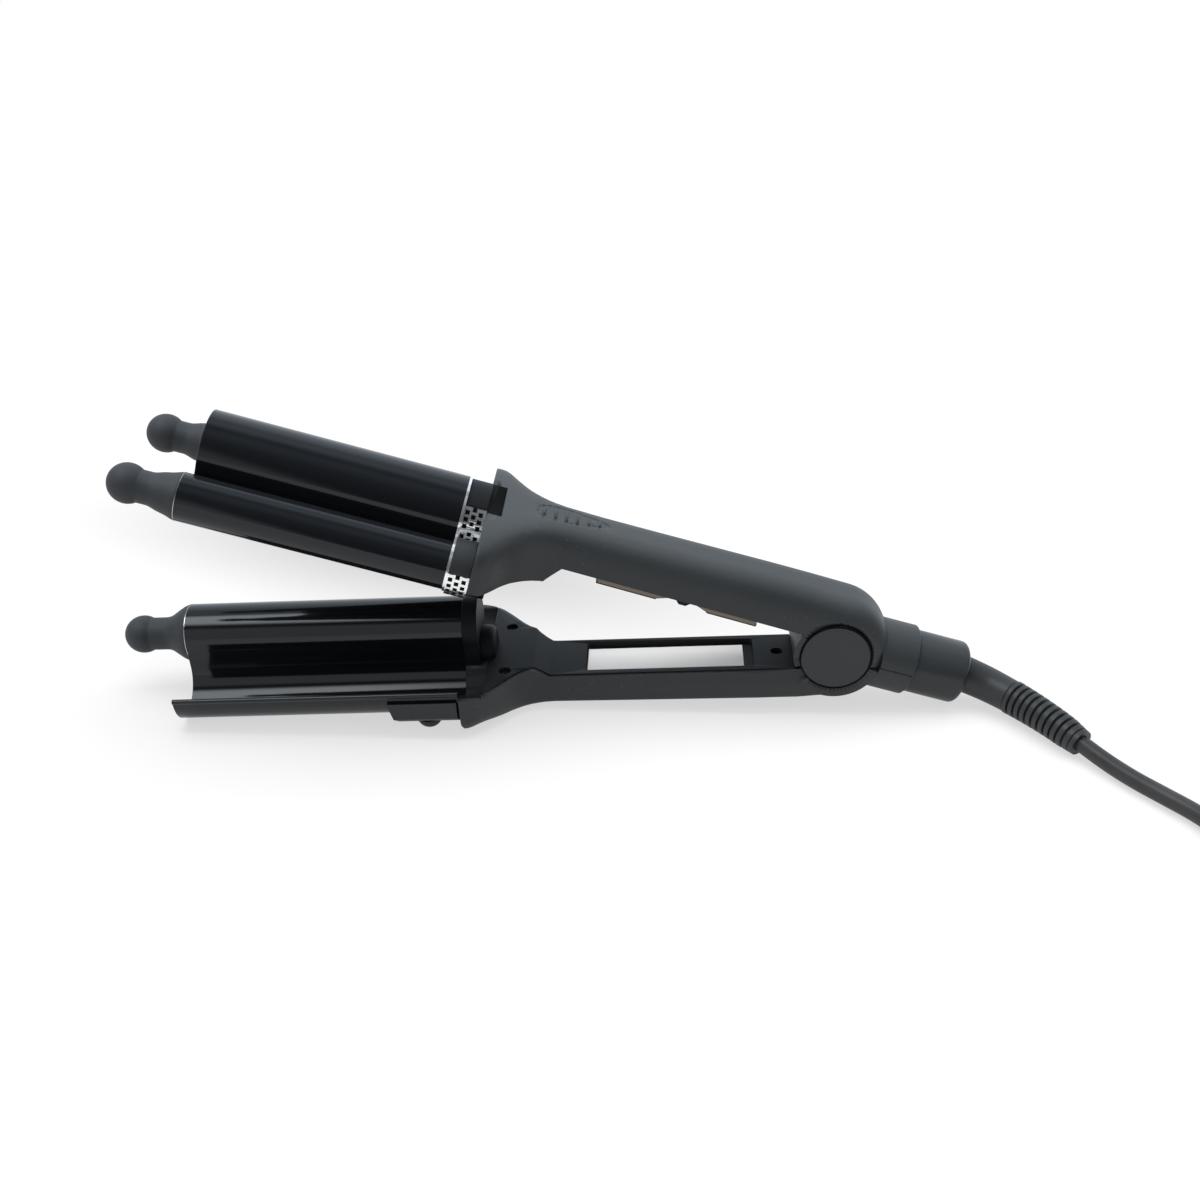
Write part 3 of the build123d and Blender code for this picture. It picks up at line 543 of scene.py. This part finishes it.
def ring_section(a, side):
    """Flat ring of painted shade, with broken edges, on one side of the hinge at one angle."""
    over = (math.cos(a - RING_BROAD_AT) - RING_BROAD_FROM) / RING_BROAD_RAMP
    over = min(1.0, max(0.0, over))
    inner = RING_OUTER - RING_HAIR - RING_BROADER * over
    return [(RING_OUTER, side * RING_SEAT), (RING_OUTER, side * RING_SHOULDER),
            (RING_OUTER - EDGE_BREAK, side * RING_FACE), (inner + EDGE_BREAK, side * RING_FACE),
            (inner, side * RING_SHOULDER), (inner, side * RING_SEAT)]


# Painted shade: a glossy near-black band for the dark gap round each hinge cap.
shade_ring_mat = new_material("painted_shade_ring", (0.003, 0.003, 0.003), 0.06, specular=0.04,
                        grain=(300.0, 0.02))
ring_work = bmesh.new()
for side in (-1, 1):
    turned_ring(ring_work, lower_place, lambda a, side=side: ring_section(a, side))
worked_piece("hinge_shade_rings", ring_work, shade_ring_mat, "hinge_cap_front")

# ---------------------------------------------------------------------------
# Jaw: the two waving plates, drawn aluminium under a gloss black enamel. The
# upper one is two tubes and an arch, the lower one a barrel between two
# troughs. The enamel leaves the cut metal edge bare at the open ends.
# ---------------------------------------------------------------------------
TUBE_Y = 0.0220
TUBE_Z = 0.0016
TUBE_R = 0.0087
TUBE_END_X = -0.2410
BARREL_Z = 0.0109
BARREL_R = 0.0110
BARREL_END_X = -0.2432
RIM_HALF_WIDTH = 0.0001
RIM_PROUD = 0.00003
RIM_DEPTH = 0.0002
rim_mat = new_material("cut_edge", (0.55, 0.56, 0.58), 0.25, metallic=1.0, grain=(900.0, 0.05))
for node, place, ends in (
        ("upper_wave_plate", upper_place, [(TUBE_END_X, -TUBE_Y, TUBE_Z, TUBE_R),
                                           (TUBE_END_X, TUBE_Y, TUBE_Z, TUBE_R)]),
        ("lower_wave_plate", lower_place, [(BARREL_END_X, 0.0, BARREL_Z, BARREL_R)])):
    rim_work = bmesh.new()
    for x, y, z, radius in ends:
        spin = place @ Matrix.Translation((x, y, z)) @ Matrix.Rotation(math.radians(90), 4, "Z")
        outer, inner = radius + RIM_PROUD, radius - RIM_DEPTH
        rim = [(outer, -RIM_HALF_WIDTH), (outer, RIM_HALF_WIDTH),
               (inner, RIM_HALF_WIDTH), (inner, -RIM_HALF_WIDTH)]
        turned_ring(rim_work, spin, lambda a, rim=rim: rim)
    worked_piece(node + "_rims", rim_work, rim_mat, node)

jaw_mat = new_material("black_jaw_gloss", (0.008, 0.009, 0.011), 0.10, specular=0.40,
                       grain=(260.0, 0.03))
jaw_shader = jaw_mat.node_tree.nodes["Principled BSDF"]
jaw_shader.inputs["Specular Tint"].default_value = (0.88, 0.95, 1.0, 1.0)
finished(jaw_mat, "upper_wave_plate", "lower_wave_plate", edge=0.0003)

# ---------------------------------------------------------------------------
# Saddles, rest bracket, flange and boss: matt black heat-proof plastic blocks
# that carry the plates. The flange closes the end of the barrel and enters the
# slot in the head, and the bracket's feet stand on the table.
# ---------------------------------------------------------------------------
saddle_mat = new_material("saddle_matt", (0.017, 0.020, 0.023), 0.55, grain=(1200.0, 0.3))
finished(saddle_mat, "collar_saddle_front", "collar_saddle_rear", "jaw_rest_bracket",
         edge=0.00025)
flange_mat = new_material("flange_matt", (0.010, 0.012, 0.014), 0.5, specular=0.14,
                          grain=(1200.0, 0.3))
finished(flange_mat, "lower_flange", "lower_barrel_boss", "collar_saddle_arch", edge=0.00025)

# ---------------------------------------------------------------------------
# Cool tips: silicone rubber balls on a neck, plugged into the open ends of the
# tubes and of the barrel, so that the jaw can be held with a finger.
# ---------------------------------------------------------------------------
tip_mat = new_material("tip_rubber", (0.027, 0.032, 0.038), 0.62, grain=(1500.0, 0.3))
finished(tip_mat, "upper_tip_front", "upper_tip_rear", "lower_tip")

# ---------------------------------------------------------------------------
# Collar and trim ring: bright chromed steel between the upper plate and the
# head. Staggered square holes keep the heat from the handle, and a thin black
# sheet behind them is painted shade for the dark inside of the collar.
# ---------------------------------------------------------------------------
SHADE_SHEET = 0.00014
SHADE_SHEET_X = (-0.1451, -0.1376)
SHADE_SHEET_TUBE_R = 0.00868
SHADE_SHEET_ARCH_R = 0.01193
ARCH_Z = 0.0114
ARCH_LEGS = (-0.0094, -0.004)
SHADE_SHEET_STEP = 7.5
chrome_mat = new_material("bright_chrome", (0.90, 0.91, 0.92), 0.14, metallic=0.85,
                          grain=(300.0, 0.02))
finished(chrome_mat, "upper_trim_ring", "upper_collar")


def shade_sheet_band(work, outline, closed):
    """A thin band of even thickness along x; outline holds (outer, inner) points in (y, z)."""
    rows = [[work.verts.new(upper_place @ Vector((x, *point)))
             for point in pair for x in SHADE_SHEET_X] for pair in outline]
    for a, b in zip(rows, rows[1:] + (rows[:1] if closed else [])):
        for i, j in ((0, 1), (1, 3), (3, 2), (2, 0)):
            work.faces.new((a[i], a[j], b[j], b[i]))
    if not closed:
        for a in (rows[0], rows[-1]):
            work.faces.new((a[0], a[1], a[3], a[2]))


def arc_pairs(y, z, radius, degrees):
    """Outer and inner points of the shade sheet on an arc about (y, z)."""
    turns = [(math.cos(a), math.sin(a)) for a in (math.radians(degree) for degree in degrees)]
    return [tuple((y + r * c, z + r * s) for r in (radius, radius - SHADE_SHEET)) for c, s in turns]


def leg_pairs(side, heights):
    """Outer and inner points of the shade sheet down one straight leg of the arch."""
    return [tuple((side * r, ARCH_Z + height) for r in (SHADE_SHEET_ARCH_R, SHADE_SHEET_ARCH_R - SHADE_SHEET))
            for height in heights]


# Painted shade: a thin black sheet just inside the collar, dark behind every hole.
shade_sheet_work = bmesh.new()
for side in (-1, 1):
    around_tube = arc_pairs(side * TUBE_Y, TUBE_Z, SHADE_SHEET_TUBE_R,
                            [SHADE_SHEET_STEP * i for i in range(int(360 / SHADE_SHEET_STEP))])
    shade_sheet_band(shade_sheet_work, around_tube, closed=True)
over_arch = arc_pairs(0.0, ARCH_Z, SHADE_SHEET_ARCH_R,
                      [180 - SHADE_SHEET_STEP * i for i in range(int(180 / SHADE_SHEET_STEP) + 1)])
shade_sheet_band(shade_sheet_work, leg_pairs(-1, ARCH_LEGS) + over_arch + leg_pairs(1, ARCH_LEGS[::-1]),
            closed=False)
worked_piece("collar_shade_sheet", shade_sheet_work, painted_shade_mat, "collar_saddle_arch")

# ---------------------------------------------------------------------------
# Heaters: pale ceramic rods inside the tubes and the barrel, hidden behind the
# tips when the tool is whole.
# ---------------------------------------------------------------------------


def dress(mat, *names):
    """Give one material to whole CAD nodes."""
    for name in names:
        mesh = nodes[name].data
        mesh.materials.clear()
        mesh.materials.append(mat)


ceramic_mat = new_material("heater_ceramic", (0.75, 0.72, 0.66), 0.6, grain=(700.0, 0.2))
dress(ceramic_mat, "upper_heater_front", "upper_heater_rear", "lower_heater")

# ---------------------------------------------------------------------------
# Keys: two sprung strips under the upper handle, painted bronze, with a paler
# bronze on their tapered ends as a painted highlight. Each rests in its window on
# a thin black band, painted shade for the shadow line under the key.
# ---------------------------------------------------------------------------
KEY_FACE = 0.0004
KEY_ROOT = 0.0052
KEY_HALF_W = 0.0070
KEY_SHADE_BAND = 0.0004
KEY_TAPER = 0.0060
KEY_TAPER_RISE = 0.0022
SHADE_BAND_OVERHANG = 0.0002
SHADE_BAND_ROOT = 0.0009
SHADE_BAND_INSET = 0.00005
KEY_EDGE = 0.0002
INNER_FACE_Z = -0.0002
INNER_FACE_SLOPE = math.radians(0.9)
face_place = (upper_place @ Matrix.Translation((0, 0, INNER_FACE_Z))
              @ Matrix.Rotation(INNER_FACE_SLOPE, 4, "Y"))
bronze_mat = new_material("bronze_paint", (0.20, 0.165, 0.13), 0.40, metallic=0.5,
                          grain=(1500.0, 0.15))
# Painted highlight: a paler bronze for the tapered ends of the keys.
taper_highlight_mat = new_material("bronze_painted_highlight", (0.50, 0.43, 0.34), 0.36, metallic=0.4,
                        grain=(1500.0, 0.15))


def key_strip(node, x0, x1, tapered):
    """A bronze strip with one tapered end, paler as a painted highlight, on a black band of
    painted shade.
    """
    near, far = (x0, x1) if tapered > 0 else (x1, x0)
    bend = far - tapered * KEY_TAPER
    strip = [(near, KEY_ROOT), (near, KEY_FACE), (bend, KEY_FACE),
             (far, KEY_FACE + KEY_TAPER_RISE), (far, KEY_ROOT)]
    # Painted shade: a thin black band under the strip for the shadow line there.
    shade_band_end = near - tapered * SHADE_BAND_OVERHANG
    shade_band = [(shade_band_end, KEY_FACE + SHADE_BAND_ROOT), (shade_band_end, KEY_FACE - KEY_SHADE_BAND),
            (bend, KEY_FACE - KEY_SHADE_BAND), (bend, KEY_FACE + SHADE_BAND_ROOT)]
    work = bmesh.new()
    for outline, half, index in ((strip, KEY_HALF_W, 0), (shade_band, KEY_HALF_W - SHADE_BAND_INSET, 2)):
        sides = [[work.verts.new(face_place @ Vector((x, y, z))) for x, z in outline]
                 for y in (-half, half)]
        count = len(outline)
        faces = [work.faces.new(sides[0]), work.faces.new(sides[1])]
        for i in range(count):
            j = (i + 1) % count
            faces.append(work.faces.new((sides[0][i], sides[1][i], sides[1][j], sides[0][j])))
        for face in faces:
            face.material_index = index
            face.smooth = True
        if outline is strip:
            # The taper takes the paler bronze, a painted highlight.
            taper_face = faces[4]
            taper_face.material_index = 1
    bmesh.ops.recalc_face_normals(work, faces=work.faces)
    mesh = bpy.data.meshes.new(node + "_strip")
    work.to_mesh(mesh)
    work.free()
    for mat in (bronze_mat, taper_highlight_mat, painted_shade_mat):
        mesh.materials.append(mat)
    mesh.set_sharp_from_angle(angle=math.radians(20))
    piece = bpy.data.objects.new(node + "_work", mesh)
    scene.collection.objects.link(piece)
    soft = piece.modifiers.new("soft_edges", "BEVEL")
    soft.width = KEY_EDGE
    soft.segments = 2
    piece = as_plain_mesh(piece, node + "_strip")
    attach(piece, body_of_node[node])
    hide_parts(node)


key_strip("power_key", x0=-0.0923, x1=-0.0635, tapered=1)
key_strip("temperature_key", x0=-0.0561, x1=-0.0309, tapered=-1)

# ---------------------------------------------------------------------------
# Pod, lens and board: a glossy black pod that guides the keys, a clear red
# lens between them, and the laminate board with the switches behind.
# ---------------------------------------------------------------------------
pod_mat = new_material("pod_black", (0.02, 0.02, 0.021), 0.3, grain=(1000.0, 0.15))
finished(pod_mat, "control_pod")
lens_mat = new_material("lens_red", (0.45, 0.03, 0.02), 0.1, grain=(400.0, 0.02))
dress(lens_mat, "indicator_lens")
board_mat = new_material("board_laminate", (0.02, 0.11, 0.04), 0.4, grain=(500.0, 0.1))
dress(board_mat, "circuit_board")

# ---------------------------------------------------------------------------
# Hinge pin and opening spring: plain drawn steel. The pin runs through the
# knuckle and the ears, and the spring is wound on it and pushes the arms apart.
# ---------------------------------------------------------------------------
steel_mat = new_material("plain_steel", (0.10, 0.10, 0.105), 0.35, metallic=0.9,
                         grain=(900.0, 0.1))
dress(steel_mat, "hinge_pin", "opening_spring")

# ---------------------------------------------------------------------------
# Cover screws: burnished steel pan heads with a cross recess, three to each
# arm. They are sunk in the wells of the inner plates and hold them down.
# ---------------------------------------------------------------------------
SHANK_R = 0.0014
SHANK_LENGTH = 0.0030
SHANK_MIDDLE = (0, 0, -0.0018)
RECESS_LENGTH = 1.25
RECESS_DEPTH = 0.0012
RECESS_MIDDLE = (0, 0, 0.0007)
SCREW = {"Head Radius": 0.0021, "Head Height": 0.0013, "Recess Width": 0.0006}
screw_mat = new_material("screw_burnished", (0.075, 0.055, 0.045), 0.45, metallic=0.7,
                         grain=(900.0, 0.1))


def new_tree(name, inputs):
    """An empty Geometry Nodes tree with named inputs and one geometry in and out."""
    tree = bpy.data.node_groups.new(name, "GeometryNodeTree")
    tree.interface.new_socket("Geometry", in_out="INPUT", socket_type="NodeSocketGeometry")
    for label, kind in inputs:
        tree.interface.new_socket(label, in_out="INPUT", socket_type="NodeSocket" + kind)
    tree.interface.new_socket("Geometry", in_out="OUTPUT", socket_type="NodeSocketGeometry")
    return tree, tree.nodes.new("NodeGroupInput").outputs


def close_tree(tree, geometry, material):
    """End a tree: real mesh, one material, out."""
    real = node_of(tree, "GeometryNodeRealizeInstances", {"Geometry": geometry})
    coloured = node_of(tree, "GeometryNodeSetMaterial", {
        "Geometry": real.outputs["Geometry"], "Material": material})
    node_of(tree, "NodeGroupOutput", {"Geometry": coloured.outputs["Geometry"]})


def grown(name, mesh, tree, values):
    """Run a tree on a mesh with its inputs set, and keep the result as a plain mesh."""
    obj = bpy.data.objects.new(name + "_seed", mesh)
    scene.collection.objects.link(obj)
    modifier = obj.modifiers.new("grow", "NODES")
    modifier.node_group = tree
    for item in tree.interface.items_tree:
        if item.in_out == "INPUT" and item.name in values:
            modifier[item.identifier] = values[item.name]
    return as_plain_mesh(obj, name)


screws, screws_in = new_tree("cover_screws", [
    ("Head Radius", "Float"), ("Head Height", "Float"), ("Recess Width", "Float"),
    ("Turn", "Vector"), ("Material", "Material")])
pan = node_of(screws, "GeometryNodeMeshCylinder", {
    "Vertices": 32, "Radius": screws_in["Head Radius"], "Depth": screws_in["Head Height"]})
shank = node_of(screws, "GeometryNodeMeshCylinder", {
    "Vertices": 20, "Radius": SHANK_R, "Depth": SHANK_LENGTH})
lowered = node_of(screws, "GeometryNodeTransform", {
    "Geometry": shank.outputs["Mesh"], "Translation": SHANK_MIDDLE})
cross = node_of(screws, "GeometryNodeMeshBoolean", {"Mesh 1": pan.outputs["Mesh"]},
                operation="DIFFERENCE", solver="EXACT")
for across in (0, 1):
    long_side = node_of(screws, "ShaderNodeMath", {
        0: screws_in["Head Radius"], 1: RECESS_LENGTH}, operation="MULTIPLY")
    size = node_of(screws, "ShaderNodeCombineXYZ", {
        across: long_side.outputs[0], 1 - across: screws_in["Recess Width"], 2: RECESS_DEPTH})
    bar = node_of(screws, "GeometryNodeMeshCube", {"Size": size.outputs[0]})
    raised = node_of(screws, "GeometryNodeTransform", {
        "Geometry": bar.outputs["Mesh"], "Translation": RECESS_MIDDLE})
    screws.links.new(raised.outputs["Geometry"], cross.inputs["Mesh 2"])
whole = node_of(screws, "GeometryNodeJoinGeometry")
screws.links.new(cross.outputs["Mesh"], whole.inputs[0])
screws.links.new(lowered.outputs["Geometry"], whole.inputs[0])
turn = node_of(screws, "FunctionNodeEulerToRotation", {0: screws_in["Turn"]})
placed = node_of(screws, "GeometryNodeInstanceOnPoints", {
    "Points": screws_in["Geometry"], "Instance": whole.outputs[0], "Rotation": turn.outputs[0]})
close_tree(screws, placed.outputs["Instances"], screws_in["Material"])
for node, place, tilt, spots in (
        ("upper_cover_screws", upper_place, 180.0 + UPPER_TILT,
         [(-0.1227, 0.0122, 0.0020), (-0.1227, -0.0122, 0.0020), (-0.0232, 0.0, 0.0072)]),
        ("lower_cover_screws", lower_place, LOWER_TILT,
         [(-0.1227, 0.0159, -0.0027), (-0.1227, -0.0159, -0.0027), (-0.0208, 0.0, -0.0074)])):
    seeds = bpy.data.meshes.new(node + "_places")
    seeds.from_pydata([place @ Vector(spot) for spot in spots], [], [])
    heads = grown(node + "_heads", seeds, screws,
                  {**SCREW, "Turn": (0.0, math.radians(tilt), 0.0), "Material": screw_mat})
    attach(heads, body_of_node[node])
    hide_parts(node)

# ---------------------------------------------------------------------------
# Hole shade: square black tiles on the chrome, painted shade for the dark inside of
# the collar's perforations. They stand in three staggered columns round the two
# tubes and over the arch.
# ---------------------------------------------------------------------------
HOLE_COLUMNS = ((-0.1440, 0.0), (-0.1416, 0.5), (-0.1392, 0.0))
TUBE_HOLE_R = 0.0099
TUBE_HOLE_STEP = 15.5
TUBE_HOLE_FROM = -76
ARCH_HOLE_R = 0.01275
ARCH_HOLE_STEP = 11.5
ARCH_HOLE_FROM = 81
LEG_HOLE_Z = 0.0044
LEG_HOLE_STEP = 0.0025
hole_shade_tree, hole_shade_in = new_tree("painted_hole_shade", [
    ("Side", "Float"), ("Thickness", "Float"), ("Material", "Material")])
tile_size = node_of(hole_shade_tree, "ShaderNodeCombineXYZ", {
    0: hole_shade_in["Side"], 1: hole_shade_in["Side"], 2: hole_shade_in["Thickness"]})
tile = node_of(hole_shade_tree, "GeometryNodeMeshCube", {"Size": tile_size.outputs[0]})
turn_of = node_of(hole_shade_tree, "GeometryNodeInputNamedAttribute", {"Name": "turn"},
                  data_type="FLOAT_VECTOR")
tile_turn = node_of(hole_shade_tree, "FunctionNodeEulerToRotation", {0: turn_of.outputs["Attribute"]})
tiles = node_of(hole_shade_tree, "GeometryNodeInstanceOnPoints", {
    "Points": hole_shade_in["Geometry"], "Instance": tile.outputs["Mesh"],
    "Rotation": tile_turn.outputs[0]})
close_tree(hole_shade_tree, tiles.outputs["Instances"], hole_shade_in["Material"])
hole_spots = []
hole_turns = []
for x, shift in HOLE_COLUMNS:
    for side in (-1, 1):
        around = [(side * TUBE_Y, TUBE_Z, TUBE_HOLE_R,
                   math.pi + math.radians(-side * (TUBE_HOLE_FROM + TUBE_HOLE_STEP * (k + shift))))
                  for k in range(-2, 10)]
        for k in range(3):
            around.append((side * ARCH_HOLE_R, LEG_HOLE_Z + LEG_HOLE_STEP * (k + shift), 0.0,
                           -side * math.pi / 2))
            around.append((0.0, ARCH_Z, ARCH_HOLE_R, math.radians(
                -side * (ARCH_HOLE_FROM - ARCH_HOLE_STEP * (k + shift)))))
        for y, z, r, a in around:
            turned = Matrix.Rotation(a, 4, "X")
            hole_spots.append(upper_place @ (Vector((x, y, z)) + turned @ Vector((0, 0, r))))
            hole_turns.append((upper_place @ turned).to_euler())
hole_mesh = bpy.data.meshes.new("hole_places")
hole_mesh.from_pydata(hole_spots, [], [])
hole_mesh.attributes.new("turn", "FLOAT_VECTOR", "POINT").data.foreach_set(
    "vector", [value for turned in hole_turns for value in turned])
# Painted shade: black tiles for the dark inside of the holes.
hole_shade_tiles = grown("collar_hole_shade_tiles", hole_mesh, hole_shade_tree,
                    {"Side": 0.00155, "Thickness": 0.00006, "Material": painted_shade_mat})
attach(hole_shade_tiles, "upper_arm")

# ---------------------------------------------------------------------------
# Rating label: a plain white film without print, stuck in the recess of the
# lower inner plate.
# ---------------------------------------------------------------------------
label_mat = new_material("label_film", (0.92, 0.92, 0.92), 0.5, grain=(600.0, 0.05))
finished(label_mat, "rating_label")

# ---------------------------------------------------------------------------
# Cord sleeve: one soft moulding over the first centimetres of the cord, a
# plain cone at the swivel and then eleven flat ribs with narrow grooves.
# ---------------------------------------------------------------------------
SLEEVE_LENGTH = 0.0545
SLEEVE = {"Length": SLEEVE_LENGTH, "Start Radius": 0.0070, "End Radius": 0.0052,
          "First Rib": 0.0212, "Rib Pitch": 0.00283, "Rib Count": 11.0,
          "Rib Height": 0.00035, "Groove Depth": 0.0009}
SLEEVE_SECTIONS = 440
RIB_TOP = 0.30
RIB_FOOT = 0.43
TABLE_GAP = 0.0001
sleeve_mat = new_material("sleeve_rubber", (0.018, 0.021, 0.023), 0.45, grain=(1100.0, 0.3))
route_line = smooth_line("route_line", cord_points, 0.0, 24)
route_mesh = bpy.data.meshes.new_from_object(
    route_line.evaluated_get(bpy.context.evaluated_depsgraph_get()))
route_path = [vert.co.copy() for vert in route_mesh.vertices]
bpy.data.objects.remove(route_line)
sleeve_path = [route_path[0]]
run = 0.0
for a, b in zip(route_path, route_path[1:]):
    run += (b - a).length
    if run > SLEEVE_LENGTH:
        break
    sleeve_path.append(b)
sleeve_line = bpy.data.meshes.new("sleeve_line")
sleeve_line.from_pydata(sleeve_path, [(i, i + 1) for i in range(len(sleeve_path) - 1)], [])
sleeve, sleeve_in = new_tree("ribbed_sleeve",
                             [(label, "Float") for label in SLEEVE] + [("Material", "Material")])


def math_step(operation, one, two=0.0):
    """One step of arithmetic in the sleeve's tree."""
    return node_of(sleeve, "ShaderNodeMath", {0: one, 1: two}, operation=operation).outputs[0]


along = node_of(sleeve, "GeometryNodeSplineParameter").outputs["Length"]
curve = node_of(sleeve, "GeometryNodeMeshToCurve", {"Mesh": sleeve_in["Geometry"]})
fine = node_of(sleeve, "GeometryNodeResampleCurve", {
    "Curve": curve.outputs["Curve"], "Count": SLEEVE_SECTIONS})
cone = node_of(sleeve, "ShaderNodeMapRange", {
    "Value": along, "From Max": sleeve_in["Length"], "To Min": sleeve_in["Start Radius"],
    "To Max": sleeve_in["End Radius"]}).outputs["Result"]
from_first = math_step("SUBTRACT", along, sleeve_in["First Rib"])
phase = math_step("FRACT", math_step("DIVIDE", from_first, sleeve_in["Rib Pitch"]))
off_middle = math_step("ABSOLUTE", math_step("SUBTRACT", phase, 0.5))
crown = node_of(sleeve, "ShaderNodeMapRange", {
    "Value": off_middle, "From Min": RIB_TOP, "From Max": RIB_FOOT, "To Min": 1.0, "To Max": 0.0},
    interpolation_type="SMOOTHSTEP").outputs["Result"]
rib_zone = math_step("MULTIPLY", sleeve_in["Rib Pitch"], sleeve_in["Rib Count"])
in_ribs = math_step("MULTIPLY", math_step("GREATER_THAN", from_first, 0.0),
                    math_step("LESS_THAN", from_first, rib_zone))
swing = math_step("ADD", sleeve_in["Rib Height"], sleeve_in["Groove Depth"])
rise = math_step("SUBTRACT", math_step("MULTIPLY", crown, swing), sleeve_in["Groove Depth"])
wanted = math_step("ADD", cone, math_step("MULTIPLY", rise, in_ribs))
here = node_of(sleeve, "GeometryNodeInputPosition").outputs[0]
height = node_of(sleeve, "ShaderNodeSeparateXYZ", {0: here}).outputs["Z"]
radius = math_step("MINIMUM", wanted, math_step("SUBTRACT", height, TABLE_GAP))
circle = node_of(sleeve, "GeometryNodeCurvePrimitiveCircle", {"Resolution": 40, "Radius": 1.0})
skin_of = node_of(sleeve, "GeometryNodeCurveToMesh", {
    "Curve": fine.outputs["Curve"], "Profile Curve": circle.outputs["Curve"], "Scale": radius,
    "Fill Caps": True})
smooth_skin = node_of(sleeve, "GeometryNodeSetShadeSmooth", {"Geometry": skin_of.outputs["Mesh"]})
close_tree(sleeve, smooth_skin.outputs["Geometry"], sleeve_in["Material"])
sleeve_piece = grown("cord_sleeve", sleeve_line, sleeve, {**SLEEVE, "Material": sleeve_mat})
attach(sleeve_piece, "cord_end")
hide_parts("strain_relief")

# ---------------------------------------------------------------------------
# Plug and tie: a moulded black plug with two round nickelled pins, and a woven
# band that holds the coil. The cord takes them and its sleeve with it.
# ---------------------------------------------------------------------------
plug_mat = new_material("plug_black", (0.025, 0.025, 0.026), 0.4, grain=(900.0, 0.25))
finished(plug_mat, "plug_body", edge=0.0008)
tie_mat = new_material("tie_woven", (0.03, 0.03, 0.032), 0.8, grain=(1600.0, 0.6))
finished(tie_mat, "cord_tie", edge=0.0006)
pin_mat = new_material("pin_nickel", (0.70, 0.69, 0.66), 0.2, metallic=1.0, grain=(500.0, 0.05))
finished(pin_mat, "plug_pins")
